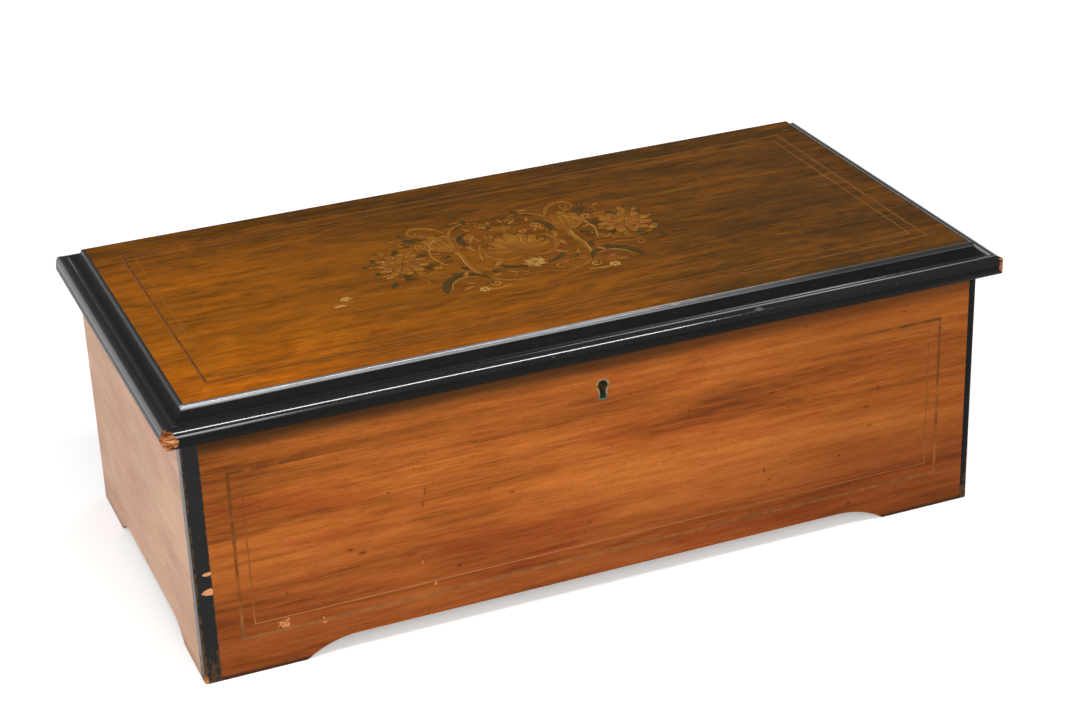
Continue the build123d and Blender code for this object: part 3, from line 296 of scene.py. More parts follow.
def lid_veneer():
    """Figured veneer: golden brown with olive streaks, with painted shade at the back and to the
    right and painted light to the left and in front.
    """
    f = Finish("lid_veneer")
    across, along = f.along("Y"), f.along("X")
    mottle = f.noise((15, 34, 1), 7, 0.68, 1.9, at=(3, 8, 0))
    figure = f.noise((4.5, 36, 1), 7, 0.66, 1.0, at=(4, 2, 0))
    streaks = f.noise((11, 170, 1), 6, 0.68, 0.4, at=(9, 3, 0))
    fibres = f.noise((50, 560, 1), 5, 0.68, 0.3, at=(2, 1, 0))
    clouds = f.noise((5, 9, 1), 3, 0.55, 1.0, at=(1, 6, 0))
    # painted shade towards the back and the right, which darkens the tone
    back = f.fade(across + clouds * 0.05 + along * 0.10, 0.045, 0.135)
    right = f.fade(along + clouds * 0.16 - across * 0.35, 0.02, 0.31)
    painted_shade = back.most(right)
    tone = mottle * 0.30 + figure * 0.22 + streaks * 0.22 + fibres * 0.36 - painted_shade * 0.100 - 0.05
    colour = f.ramp(tone, [(0.34, (0.050, 0.020, 0.0012)), (0.44, (0.125, 0.042, 0.0018)),
                           (0.54, (0.225, 0.070, 0.0022)), (0.67, (0.360, 0.124, 0.0060))])
    olive = f.fade(f.noise((2.4, 46, 1), 6, 0.66, 0.9, at=(7, 4, 0)) + painted_shade * 0.055, 0.57, 0.70)
    colour = f.mix(olive * (0.34 + painted_shade * 0.34), colour, (0.040, 0.022, 0.0020))
    # painted light to the left and in front, then dark hairs, light glints, pores and wear
    left = f.fade(along + clouds * 0.10, -0.02, -0.20) * 0.8
    colour = f.tinted(left, colour, (1.42, 1.30, 0.90))
    painted_front_light = f.fade(across, -0.05, -0.13) * f.fade(along, 0.16, -0.1) * 0.6
    colour = f.tinted(painted_front_light, colour, (1.45, 1.22, 1.5))
    hairs = f.fade(f.noise((7, 300, 1), 5, 0.75, 0.6, at=(1, 2, 0)), 0.56, 0.66) * 0.34
    colour = f.mix(hairs, colour, (0.050, 0.020, 0.0015))
    glints = f.fade(f.noise((9, 260, 1), 5, 0.75, 0.6, at=(6, 5, 0)), 0.57, 0.68) * 0.30
    colour = f.mix(glints, colour, (0.400, 0.155, 0.012))
    pores = f.fade(f.noise((90, 1500, 900), 3, 0.6), 0.56, 0.68) * 0.45
    colour = f.mix(pores, colour, (0.040, 0.016, 0.002))
    chipped = f.spots([((-137, -30, 198), (9.5, 8, 9)), ((-144, -39, 198), (9.5, 5.0, 9))], 0.9)
    flecks = f.noise((420, 620, 300), 3, 0.65, 0.8, at=(1, 1, 4))
    bare = f.fade(chipped * 0.50 + flecks, 0.84, 0.93) * 0.75
    colour = f.mix(bare, colour, (0.50, 0.27, 0.085))
    rubbed = f.fade(f.noise((26, 160, 1), 4, 0.75, at=(5, 3, 3)), 0.62, 0.76) * 0.30
    colour = f.mix(rubbed, colour, (0.44, 0.175, 0.030))
    below = f.fade(f.along("Z"), LID_TOP - 0.0008, LID_TOP - 0.0012)
    ground = plain_colour(f, pale=(0.40, 0.22, 0.09), dark=(0.25, 0.12, 0.045))
    colour = f.mix(below, colour, ground)
    relief = fibres * 0.4 + pores * -0.9 + bare * -1.0
    rough = 0.38 + fibres * 0.16 + bare * 0.25 + below * 0.2
    return f.surface(colour, rough, shape=f.bump(relief, 0.00012, 0.5), level=0.018,
                     Specular_Tint=VARNISH)


def end_wood(name, way, depth):
    """Plain pinkish wood with its grain one way; it is paler inside the case, past a depth."""
    f = Finish(name)
    clouds = f.noise((9, 9, 26), 3, 0.5, 0.8)
    lines = grain(f, 160, 4, 6, way)
    fine = grain(f, 50, 1.1, 2, way)
    outward = f.along("X").size() if way == "y" else f.along("Y")
    colour = f.ramp(clouds * 0.48 + lines * 0.26 + fine * 0.28,
                    [(0.32, (0.35, 0.185, 0.110)), (0.48, (0.49, 0.280, 0.180)),
                     (0.66, (0.63, 0.395, 0.270))])
    blush = f.fade(f.noise((14, 14, 10), 2, 0.5, at=(4, 4, 4)), 0.5, 0.75) * 0.35
    colour = f.mix(blush, colour, (0.62, 0.30, 0.22))
    dents = f.spots([((-280, -3.6, 81), (9, 2.0, 1.1)), ((-280, 62, 120), (9, 1.2, 0.9)),
                     ((-280, -70, 60), (9, 1.0, 2.4)), ((280, 30, 90), (9, 2.2, 1.0))], 0.7)
    colour = f.mix(dents * 0.75, colour, (0.14, 0.07, 0.05))
    height = f.along("Z")
    soiled = f.fade(height, 0.012, 0.0) * 0.5
    colour = f.mix(soiled, colour, (0.22, 0.11, 0.06))
    stain = f.fade(f.noise((30, 30, 50), 3, 0.6, at=(8, 1, 2)), 0.62, 0.75) * 0.2
    colour = f.mix(stain, colour, (0.28, 0.15, 0.09))
    back_face = 0.1388      # just under the back board's outside
    inside = (f.fade(outward, depth, depth - INSIDE)
              * f.fade(f.along("Y"), back_face, back_face - INSIDE))
    colour = f.mix(inside, colour, plain_colour(f, way))
    relief = fine * 0.6 + lines * 0.3 - dents
    return f.surface(colour, 0.50 + fine * 0.15, shape=f.bump(relief, 0.00015, 0.5), level=0.25)


def inner_wood(name, way):
    """Plain wood that is never seen polished, a little soiled."""
    f = Finish(name)
    colour = plain_colour(f, way)
    soiled = f.fade(f.noise((12, 12, 12), 4, 0.6), 0.48, 0.75) * 0.4
    colour = f.mix(soiled, colour, (0.16, 0.08, 0.035))
    fine = grain(f, 60, 1.4, 5, way)
    return f.surface(colour, 0.58 + fine * 0.16, shape=f.bump(fine, 0.00018, 0.5), level=0.3)


# Heights where one part of the mouldings' profile fades into the next, from below
UNDERSIDE = (0.1755, 0.1768)
NOSE = (0.1800, 0.1845)         # dull below, bright above
ROUND = (0.1850, 0.1872)        # the mirror of the upper round starts
HOLLOW = (0.1898, 0.1906, 0.1950, 0.1958)
RIM = (0.1953, 0.1962)          # the topmost edge, with a painted highlight along the front

# Worn corners of the lid and of the left foot: middles and radii, in millimetres
WORN = [((-289.5, -148.5, 184), (13, 12, 13)), ((290.5, -149.5, 184), (9, 7, 10)),
        ((-290, 150, 184), (8, 7, 9)), ((290, 150, 184), (9, 7, 9)),
        ((-280, -135, 2), (5, 6, 10))]
SCUFFED = [((105, -150, 189), (14, 9, 4)), ((-40, -150, 187), (5, 9, 2))]
STRIP_CHIPS = [((-271, -136, 79.5), (5.5, 9, 2.4)), ((-271, -136, 66.5), (9.0, 9, 4.2))]


def ebonised():
    """Black polish: bright on the rounds of the moulding, dull in its hollow, worn at corners."""
    f = Finish("ebonised")
    height = f.along("Z")
    smears = f.noise((22, 22, 22), 4, 0.6, 0.4)
    brush = f.noise((40, 500, 500), 3, 0.6)
    black = f.mix(smears, (0.0040, 0.0045, 0.0044), (0.0110, 0.0112, 0.0100))
    flakes = f.noise((260, 260, 260), 3, 0.6, 0.4)
    # bare wood at the corners, and crumbs along the edges of the strips
    bare = f.fade(f.spots(WORN, 0.9) * 0.95 + flakes, 1.02, 1.12)
    out = f.along("X").size()
    outer = f.fade(out, CASE_END - 0.0024, CASE_END - 0.0010)
    corner = outer * f.fade(f.along("Y"), FACE + 0.0025, FACE + 0.0012)
    inner = f.fade(out, CASE_END - 0.0094, CASE_END - 0.0108)
    below_lid = f.fade(height, CASE_TOP + 0.0001, CASE_TOP - 0.0002)
    edges = corner.most(inner) * 0.27 * below_lid + f.fade(height, 0.040, 0.0) * 0.30
    crumbs = f.fade(f.noise((420, 420, 240), 3, 0.65, 0.5, at=(3, 1, 9)) + edges, 0.70, 0.80)
    wood = f.ramp(f.noise((120, 120, 500), 3, 0.6, 0.5),
                  [(0.34, (0.060, 0.020, 0.008)), (0.5, (0.30, 0.095, 0.026)),
                   (0.66, (0.60, 0.29, 0.12))])
    # the wear laid over the black
    nicks = f.fade(f.noise((520, 520, 520), 1, 0.4, at=(5, 2, 7)), 0.765, 0.79)
    colour = f.mix(nicks * 0.4, black, (0.12, 0.11, 0.10))
    scuff = f.spots(SCUFFED, 0.9) * 0.7 + f.noise((150, 300, 600), 4, 0.75)
    scuff = f.fade(scuff, 1.10, 1.25) * 0.45
    colour = f.mix(scuff, colour, (0.19, 0.20, 0.22))
    colour = f.mix(crumbs * 0.55, colour, f.mix(flakes, (0.16, 0.055, 0.020),
                                                (0.10, 0.085, 0.045)))
    colour = f.mix(bare, colour, wood)
    chips = f.fade(f.spots(STRIP_CHIPS, 0.9) * 0.9 + flakes, 0.88, 0.98)
    colour = f.mix(chips, colour, (0.66, 0.29, 0.13))
    bare = bare.most(chips)
    # where the polish is a mirror, and a painted highlight on the rim, metal-like so that it also
    # mirrors the lamps, mostly at the front
    dull = f.span(height, *HOLLOW).most(bare).most(scuff)
    strip = f.fade(height, *reversed(UNDERSIDE)) * f.fade(f.along("X"), 0.2, -0.2, 0.02, 0.12)
    polish = (f.fade(height, *ROUND) + strip * (1 - crumbs)) * (1 - dull)
    lower = f.span(height, *UNDERSIDE, *NOSE)
    front = f.fade(f.along("Y"), -0.1312, -0.1322) * f.fade(f.along("X"), 0.20, -0.06, 0.10, 1.0)
    rim, front = f.fade(height, *RIM), front.most(0.08)
    painted_rim_highlight = rim * front * (0.66 + smears * 0.6)
    polish = polish * (1 - rim * (1 - front))
    # painted highlight: light grey on the front rim, fading towards the right
    colour = f.mix(painted_rim_highlight, colour, (0.27, 0.275, 0.285))
    rough = (0.12 + smears * 0.10 + brush * 0.05 + dull * 0.32 + painted_rim_highlight * 0.16 + lower * 0.34
             + crumbs * 0.3).least(0.8)
    relief = smears * 0.7 + brush * 0.12 - bare * 0.9 - nicks * 0.5
    return f.surface(colour, rough, painted_rim_highlight * 0.85, f.bump(relief, 0.00010, 0.3), 0.05,
                     Coat_Weight=polish, Coat_Roughness=0.11, Coat_IOR=1.8)


def knob_wood():
    """Dark wood with the rings of turning."""
    f = Finish("turned_wood")
    rings = f.noise((500, 90, 500), 3, 0.6, 0.4)
    colour = f.ramp(rings, [(0.35, (0.012, 0.009, 0.007)), (0.65, (0.045, 0.025, 0.016))])
    return f.surface(colour, 0.24 + rings * 0.15, shape=f.bump(rings, 0.0001, 0.3), level=0.4)


# ---- metal, glass and card

def metal(name, clean, aged, rough, lines=(60, 900, 900), stained_from=0.5):
    """Polished metal with fine tool lines, and with stains where the noise passes a level."""
    f = Finish(name)
    patches = f.noise((38, 38, 38), 4, 0.62, 0.5)
    tool = f.noise(lines, 3, 0.6)
    stain = f.fade(patches, stained_from, stained_from + 0.2)
    colour = f.mix(stain * 0.75, clean, aged)
    colour = f.mix(f.fade(tool, 0.55, 0.75) * 0.3, colour, aged)
    spotty = f.fade(f.noise((380, 380, 380), 2, 0.5), 0.66, 0.72) * 0.5
    colour = f.mix(spotty, colour, f.mix(0.5, aged, (0.02, 0.015, 0.01)))
    return f.surface(colour, rough + tool * 0.12 + stain * 0.16, 1.0,
                     f.bump(tool, 0.00004, 0.4), 0.5)


BRASS = (0.78, 0.52, 0.20)
BRASS_AGED = (0.36, 0.21, 0.07)
STEEL = (0.56, 0.55, 0.53)
STEEL_AGED = (0.26, 0.23, 0.20)
BLUE = (0.035, 0.06, 0.20)
BLUE_AGED = (0.05, 0.04, 0.08)


def liner_brass():
    """Old brass of the keyhole, with verdigris at its foot."""
    f = Finish("liner_brass")
    patches = f.noise((420, 420, 420), 3, 0.6, 0.4)
    foot = f.fade(f.along("Z"), 0.1460, 0.1428)
    colour = f.mix(f.fade(patches, 0.4, 0.7), (0.30, 0.215, 0.115), (0.13, 0.090, 0.045))
    green = f.fade(foot * 0.55 + patches, 0.66, 0.9)
    colour = f.mix(green * 0.9, colour, (0.105, 0.150, 0.105))
    rough = 0.42 + green * 0.35
    return f.surface(colour, rough, 0.55, f.bump(patches, 0.0001, 0.5), 0.4)


def glass():
    """Thin pane with a little dust and a slight wave."""
    f = Finish("window_glass")
    dust = f.noise((60, 60, 60), 4, 0.7)
    return f.surface((0.93, 0.97, 0.95), 0.01 + f.fade(dust, 0.55, 0.9) * 0.10,
                     shape=f.bump(f.noise((9, 9, 9), 2), 0.0002, 0.15),
                     Transmission_Weight=1.0, IOR=1.46)


def card():
    """Aged card with ruled lines in a plain border."""
    f = Finish("tune_card")
    across, along = f.along("Y"), f.along("X")
    fibres = f.noise((300, 300, 300), 4, 0.7)
    blots = f.noise((45, 45, 45), 3, 0.6, 0.4, at=(2, 5, 1))
    paper = f.mix(f.fade(blots, 0.5, 0.75) * 0.5, (0.72, 0.64, 0.47), (0.50, 0.37, 0.21))
    paper = f.mix(fibres * 0.2, paper, (0.60, 0.50, 0.34))
    step, half_long, half_wide, blur = 0.0085, 0.068, 0.045, 0.0001

    def within(x, y):
        return (f.fade(along.size(), x + blur, x - blur)
                * f.fade(across.size(), y + blur, y - blur))

    ruled = f.fade(across.to_and_fro(step / 2), 0.00028, 0.00018) * within(0.064, 0.039)
    edge_x, edge_y = (along.size() - half_long).size(), (across.size() - half_wide).size()
    border = f.fade(edge_x.least(edge_y), 0.0006, 0.0005)
    border = border * within(half_long + 0.0005, half_wide + 0.0005)
    ink = ruled.most(border) * (0.55 + fibres * 0.6)
    colour = f.mix(ink, paper, (0.16, 0.045, 0.030))
    return f.surface(colour, 0.78, shape=f.bump(fibres, 0.0001, 0.4), level=0.2)


def inlay_wood(name, pale, deep, seed=0, turn=0.0, ground=None):
    """Thin inlaid veneer with its own direction of grain; it sinks into the ground colour in
    places, and on the front board in the middle of its upper run."""
    f = Finish(name)
    lines = f.noise((60, 420, 60), 4, 0.6, 0.6, turn=(0, 0, turn))
    shade = f.noise((110, 110, 110), 3, 0.6, 0.4, at=(seed, 2, 1))
    colour = f.ramp(lines * 0.5 + shade * 0.5, [(0.34, deep), (0.62, pale)])
    if ground:
        height, across = f.along("Z"), f.along("X")
        front = f.fade(f.along("Y"), FACE + 0.005, FACE + 0.001)
        upper = f.fade(height, 0.125, 0.136) * front * f.fade(across.size(), 0.235, 0.14)
        dusk = f.fade(height, 0.036, 0.060).most(f.fade(across, -0.05, 0.15) * 0.6) * front * 0.78
        colour = f.mix(dusk, colour, (0.130, 0.042, 0.010))
        sunk = (f.fade(shade, 0.45, 0.68) * 0.5).most(upper * 0.85)
        lighter = [part * 1.4 for part in ground]
        colour = f.mix(sunk, colour, f.mix(lines, ground, lighter))
    return f.surface(colour, 0.40 + lines * 0.14, shape=f.bump(lines, 0.00006, 0.4), level=0.02,
                     Specular_Tint=VARNISH)


# ---- mesh tools

def put(name, data):
    """Puts a new object in the scene."""
    made = bpy.data.objects.new(name, data)
    bpy.context.scene.collection.objects.link(made)
    return made


def faceted(name, bm, material):
    """An object with flat faces, from a bmesh whose place is already right."""
    mesh = bpy.data.meshes.new(name)
    bm.to_mesh(mesh)
    bm.free()
    mesh.polygons.foreach_set("use_smooth", [False] * len(mesh.polygons))
    mesh.materials.append(material)
    return put(name, mesh)


def piece(name, bm, material, body):
    """A piece that rides on a body, with the slot that it takes its finish from."""
    made = faceted(name, bm, material)
    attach(made, body)
    return made


def smooth_path(points):
    """Points of a curve through the given ones; each has x, y and any further values."""
    steps = 6
    path = []
    last = len(points) - 1
    for i in range(last):
        before, a, b, after = (points[max(i - 1, 0)], points[i], points[i + 1],
                               points[min(i + 2, last)])
        for k in range(steps):
            t = k / steps
            path.append([0.5 * (2 * q + (r - p) * t + (2 * p - 5 * q + 4 * r - s) * t * t
                                + (3 * q - p - 3 * r + s) * t ** 3)
                         for p, q, r, s in zip(before, a, b, after)])
    path.append(list(points[last]))
    return path


def ribbon(points):
    """Outline of a line that swells and thins; each point has x, y and its width."""
    path = smooth_path(points)
    left, right = [], []
    for i, (x, y, width) in enumerate(path):
        a, b = path[max(i - 1, 0)], path[min(i + 1, len(path) - 1)]
        way = Vector((b[0] - a[0], b[1] - a[1]))
        way.normalize()
        left.append((x - way.y * width / 2, y + way.x * width / 2))
        right.append((x + way.y * width / 2, y - way.x * width / 2))
    return left + right[::-1]


def heading(angle):
    """Cosine and sine of an angle in degrees."""
    return math.cos(math.radians(angle)), math.sin(math.radians(angle))


def scroll(x, y, reach, start, turns, width, hand=1):
    """Points of a spiral that starts outside at an angle and winds in to a bud."""
    points = []
    count = max(5, int(turns * 9))
    for i in range(count + 1):
        t = i / count
        angle = math.radians(start) + hand * t * turns * 2 * math.pi
        radius = reach * (1 - 0.82 * t)
        points.append((x + radius * math.cos(angle), y + radius * math.sin(angle),
                       width * (0.55 + 0.75 * t if t < 0.9 else 1.5)))
    return points


def petal(x, y, length, width, angle, tip=0.62):
    """Outline of a petal or leaf that starts at x, y."""
    c, s = heading(angle)
    outline = []
    points = 16
    for i in range(points):
        t = i / points * 2 * math.pi
        u = 0.5 - 0.5 * math.cos(t)
        v = math.sin(t) * 0.5 * (0.55 + 0.9 * u * tip)
        outline.append((x + length * u * c - width * v * s, y + length * u * s + width * v * c))
    return outline


INLAY_LEVELS = 64           # motifs before the levels start again from the lowest
INLAY_STEP = 0.0000017      # each motif lies twice this much over the one before
INLAY_LOWEST = 5            # steps from the veneer's surface to the lowest motif's top
INLAY_ROOT = 4              # steps that each motif reaches into the veneer
INLAY_SINK = 0.00023        # the veneer lies this much under the lid's full height


def flat_pieces(shapes):
    """A bmesh of thin flat shapes, each with its outline in millimetres and its level."""
    bm = bmesh.new()
    for outline, level in shapes:
        root, rise = INLAY_STEP * INLAY_ROOT, INLAY_STEP * (level + INLAY_LOWEST)
        curve = bpy.data.curves.new("shape", "CURVE")
        curve.dimensions = "2D"
        curve.fill_mode = "BOTH"
        curve.extrude = (rise + root) / 2
        spline = curve.splines.new("POLY")
        spline.points.add(len(outline) - 1)
        for point, (x, y) in zip(spline.points, outline):
            point.co = (x * MM, y * MM, 0, 1)
        spline.use_cyclic_u = True
        holder = bpy.data.objects.new("shape", curve)
        mesh = bpy.data.meshes.new_from_object(holder)
        foot = LID_TOP - INLAY_SINK - root
        mesh.transform(Matrix.Translation((0, 0, foot + curve.extrude)))
        bm.from_mesh(mesh)
        bpy.data.objects.remove(holder)
        bpy.data.curves.remove(curve)
        bpy.data.meshes.remove(mesh)
    bmesh.ops.remove_doubles(bm, verts=bm.verts, dist=1e-7)
    bmesh.ops.recalc_face_normals(bm, faces=bm.faces)
    return bm


def band(x0, x1, y0, y1, width, top, thick=0.00006):
    """A thin flat frame: a grid face inset by its width, its middle left out, then made solid.

    Its sides and width are in millimetres.
    """
    bm = bmesh.new()
    bmesh.ops.create_grid(bm, x_segments=1, y_segments=1, size=0.5)
    bmesh.ops.scale(bm, verts=bm.verts, vec=((x1 - x0) * MM, (y1 - y0) * MM, 1))
    bmesh.ops.inset_individual(bm, faces=bm.faces[:], thickness=width * MM)
    inner = min(bm.faces, key=lambda face: (face.calc_center_median().length, -face.calc_area()))
    bmesh.ops.delete(bm, geom=[inner], context="FACES")
    flat = bm.faces[:]
    raised = bmesh.ops.extrude_face_region(bm, geom=flat)
    verts = [g for g in raised["geom"] if isinstance(g, bmesh.types.BMVert)]
    bmesh.ops.translate(bm, verts=verts, vec=(0, 0, thick))
    bmesh.ops.translate(bm, verts=bm.verts, vec=((x0 + x1) / 2 * MM, (y0 + y1) / 2 * MM,
                                                  top - thick))
    bmesh.ops.recalc_face_normals(bm, faces=bm.faces)
    return bm


def leave_gap(bm, half):
    """Takes the middle out of a flat frame's upper run, and closes the cut ends.

    The gap's half width is in millimetres.
    """
    for side in (-1, 1):
        bmesh.ops.bisect_plane(bm, geom=bm.verts[:] + bm.edges[:] + bm.faces[:],
                               plane_co=(side * half * MM, 0, 0), plane_no=(1, 0, 0))
    upper = 0.1
    middle = [face for face in bm.faces
              if abs(face.calc_center_median().x) < half * MM * 0.9
              and face.calc_center_median().y > upper]
    bmesh.ops.delete(bm, geom=middle, context="FACES")
    bmesh.ops.holes_fill(bm, edges=bm.edges, sides=4)
    bmesh.ops.recalc_face_normals(bm, faces=bm.faces)


# ---- camera, lights, floor

def set_camera():
    """The photograph's viewpoint: 79.8 mm lens on a 36 mm wide frame, angles in radians."""
    turn, dip, roll = -0.37763, 0.4504, -0.0375
    forward = Vector((-math.sin(turn) * math.cos(dip), math.cos(turn) * math.cos(dip),
                      -math.sin(dip)))
    level = Vector((math.cos(turn), math.sin(turn), 0))
    upright = level.cross(forward)
    right = math.cos(roll) * level + math.sin(roll) * upright
    up = -math.sin(roll) * level + math.cos(roll) * upright
    data = bpy.data.cameras.new("camera")
    data.lens = 79.8
    data.sensor_width = 36
    data.sensor_fit = "HORIZONTAL"
    data.clip_start = 0.01
    pose = Matrix((right, up, -forward)).transposed().to_4x4()
    pose.translation = Vector((-0.5493, -1.4114, 0.8425))
    camera = put("camera", data)
    camera.matrix_world = pose
    bpy.context.scene.camera = camera


LAMPS = [       # name, place, what it faces, size and watts
    ("strip", (-0.30, -0.50, 1.50), (-0.20, -0.05, 0.15), (2.0, 0.10), 13),
    ("soft_front", (-0.4, -1.9, 1.3), (0, 0, 0.1), (1.4, 0.8), 18),
    ("left_fill", (-1.9, -0.3, 0.5), (0, 0, 0.1), (0.9, 0.7), 11),
    ("right_fill", (1.8, -0.1, 0.8), (0, 0, 0.1), (0.9, 0.9), 10),
    ("back_fill", (1.1, 1.3, 1.7), (0, 0, 0.1), (0.7, 0.7), 7),
]


def lamp(name, at, aim, size, watts):
    """A soft rectangular lamp at one point, facing another."""
    data = bpy.data.lights.new(name, "AREA")
    data.shape = "RECTANGLE"
    data.size, data.size_y = size
    data.energy = watts
    made = put(name, data)
    made.location = at
    made.rotation_euler = (Vector(aim) - Vector(at)).to_track_quat("-Z", "Y").to_euler()


def set_world():
    """White air that lights gently; it looks white low down and grey overhead, as in a studio."""
    world = bpy.data.worlds.new("studio")
    bpy.context.scene.world = world
    world.use_nodes = True
    f = Nodes(world.node_tree)
    seen = f.seen_directly()
    way = f.node("TexCoord", out="Generated")
    rise = f.node("SeparateXYZ", inputs={0: way}, out="Z")
    backdrop = f.fade(rise, 0.20, 0.36, 1.0, 0.14)
    air = f.node("Background", inputs={"Color": (1, 1, 1),
                                       "Strength": seen * backdrop + (1 - seen) * 0.34})
    f.node("OutputWorld", inputs={0: air})


def set_floor():
    """A pale floor that fades into the white backdrop."""
    f = Finish("pale_floor")
    paper = f.mix(f.noise((40, 40, 40)), (0.80, 0.80, 0.80), (0.83, 0.83, 0.83))
    reach = f.node("VectorMath", {"operation": "LENGTH"}, {0: f.place}, out="Value")
    glow = f.mix(f.fade(reach, 0.45, 1.6), (0.33, 0.335, 0.34), (0.9, 0.9, 0.9))
    glow = f.mix(f.seen_directly(), (0, 0, 0), glow)
    material = f.surface(paper, 0.9, level=0.1, Emission_Color=glow, Emission_Strength=1.0)
    bm = bmesh.new()
    bmesh.ops.create_grid(bm, x_segments=1, y_segments=1, size=12)
    faceted("floor", bm, material)


# ---- finishes of the CAD nodes

def dress(names, material):
    """Gives CAD nodes, named in one string, their material."""
    for name in names.split():
        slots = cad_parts[name].data.materials
        slots.clear()
        slots.append(material)


def dress_all():
    """Every CAD node's material."""
    dress("front_panel", front_veneer())
    dress("left_end_panel right_end_panel", end_wood("end_wood", "y", depth=0.2785))
    dress("back_panel", end_wood("back_wood", "x", depth=0.1375))
    dress("corner_strips lid_moulding_front lid_moulding_back lid_moulding_left"
          " lid_moulding_right", ebonised())
    dress("bottom_board bearer_rails glass_frame", inner_wood("inner_wood", "x"))
    dress("partitions", inner_wood("partition_wood", "y"))
    dress("keyhole_liner", liner_brass())
    fittings = metal("fitting_brass", BRASS, BRASS_AGED, 0.26)
    dress("case_hinge_leaves lid_hinge_leaves lock_case lock_strike glass_case_hinges"
          " glass_lid_hinges glass_lid_knob click_plate control_bracket pointer_bracket"
          " arbor_bearings comb_base governor_frame", fittings)
    dress("bedplate", metal("bedplate_brass", (0.72, 0.46, 0.17), BRASS_AGED, 0.33,
                            (30, 1400, 900)))
    dress("cylinder_tube", metal("cylinder_brass", (0.80, 0.55, 0.22), BRASS_AGED, 0.22,
                                 (2200, 40, 40), 0.58))
    dress("cylinder_caps cylinder_wheel spring_barrel barrel_cover great_wheel"
          " governor_first_wheel governor_second_wheel fly_fan",
          metal("wheel_brass", (0.80, 0.53, 0.19), BRASS_AGED, 0.24, (900, 300, 300)))
    dress("winding_lever start_lever change_lever", metal(
        "lever_brass", (0.74, 0.49, 0.20), BRASS_AGED, 0.28, (300, 900, 300)))
    dress("comb", metal("comb_steel", (0.60, 0.59, 0.57), STEEL_AGED, 0.26,
                        (1600, 60, 400), 0.60))
    dress("lock_bolt cylinder_arbor change_snail winding_arbor ratchet_wheel lever_pawl"
          " holding_click endless_screw", metal("turned_steel", STEEL, STEEL_AGED, 0.26,
                                                (900, 200, 200)))
    dress("hinge_pins case_hinge_screws lid_hinge_screws bedplate_bolts",
          metal("screw_steel", STEEL, STEEL_AGED, 0.32, (300, 300, 300)))
    dress("mainspring", metal("spring_steel", (0.20, 0.21, 0.25), STEEL_AGED, 0.3))
    dress("comb_screws tune_pointer", metal("blued_steel", BLUE, BLUE_AGED, 0.24,
                                            (300, 300, 300), 0.62))
    dress("lever_knob", knob_wood())
    dress("glass_pane", glass())
    dress("tune_card", card())


# ---- lid top, stringing and marquetry

def lid_top():
    """The lid board with its veneer a hair lower, so that the inlay ends at the CAD's height."""
    bm = bmesh.new()
    bm.from_mesh(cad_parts["lid_board"].data)
    bmesh.ops.remove_doubles(bm, verts=bm.verts, dist=1e-6)
    bmesh.ops.dissolve_limit(bm, angle_limit=0.01, verts=bm.verts, edges=bm.edges)
    upper = [v for v in bm.verts if v.co.z > LID_TOP - INLAY_SINK / 2]
    bmesh.ops.translate(bm, verts=upper, vec=(0, 0, -INLAY_SINK))
    made = piece("lid_veneer", bm, lid_veneer(), "lid")
    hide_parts("lid_board")


def corner_strips():
    """On the right the veneer runs further out, and the strip beside it is half as wide."""
    meeting = 0.2745        # where the veneer and the right strip meet
    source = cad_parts["corner_strips"].data
    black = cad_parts["lid_moulding_front"].data.materials[0]
    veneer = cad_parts["front_panel"].data.materials[0]
    halves = []
    for inner in (False, True):
        bm = bmesh.new()
        bm.from_mesh(source)
        bmesh.ops.remove_doubles(bm, verts=bm.verts, dist=1e-6)
        right = [face for face in bm.faces if face.calc_center_median().x > 0]
        reach = {part for face in right for part in (face, *face.edges, *face.verts)}
        bmesh.ops.bisect_plane(bm, geom=list(reach), plane_co=(meeting, 0, 0),
                               plane_no=(1, 0, 0), clear_inner=not inner, clear_outer=inner)
        if inner:
            left = [v for v in bm.verts if v.co.x < 0]
            bmesh.ops.delete(bm, geom=left, context="VERTS")
        bmesh.ops.holes_fill(bm, edges=bm.edges)
        bmesh.ops.recalc_face_normals(bm, faces=bm.faces)
        halves.append(bm)
    strips = piece("corner_strip_pair", halves[0], black, "case")
    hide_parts("corner_strips")
    piece("front_veneer_edge", halves[1], veneer, "case")


def stringing():
    """Inlaid lines round the lid's field and the front; the front's band parts at the middle."""
    below, front = (0.16, 0.052, 0.0055), (0.36, 0.098, 0.018)
    tan, dusky, light, green = (
        inlay_wood("stringing_" + name, pale, deep, ground=ground)
        for name, pale, deep, ground in (
            ("tan", (0.30, 0.125, 0.030), (0.17, 0.066, 0.014), below),
            ("dusky", (0.145, 0.048, 0.012), (0.085, 0.028, 0.006), below),
            ("light", (0.47, 0.20, 0.070), (0.34, 0.125, 0.036), front),
            ("green", (0.33, 0.135, 0.042), (0.20, 0.078, 0.024), front)))
    proud, half_gap = 0.00003, 5.2
    for name, box, width, wood in (
            ("lid_stringing_line", (-255.0, 255.0, -111.0, 110.0), 0.7, tan),
            ("lid_stringing_band", (-254.3, 254.3, -110.3, 109.3), 2.0, dusky),
            ("lid_stringing_inner", (-246.5, 246.5, -101.5, 100.0), 0.9, tan)):
        piece(name, band(*box, width, LID_TOP - INLAY_SINK + proud), wood, "lid")
    upright = Matrix.Translation((0, FACE, 0)) @ Matrix.Rotation(math.radians(90), 4, "X")
    for name, box, width, wood in (
            ("front_stringing_band", (-253.5, 253.5, 25.5, 147.0), 3.0, green),
            ("front_stringing_line", (-244.5, 244.5, 35.5, 139.0), 1.0, light)):
        bm = band(*box, width, proud)
        if name == "front_stringing_band":
            leave_gap(bm, half_gap)
        bmesh.ops.transform(bm, matrix=upright, verts=bm.verts)
        piece(name, bm, wood, "case")


MIDDLE = -2.0           # the panel's middle along the lid, in millimetres
BLOSSOM = (83, 7)       # the right blossom, from the panel's middle, likewise
EDGE = 0.6              # what the dark line adds to a motif's width, likewise


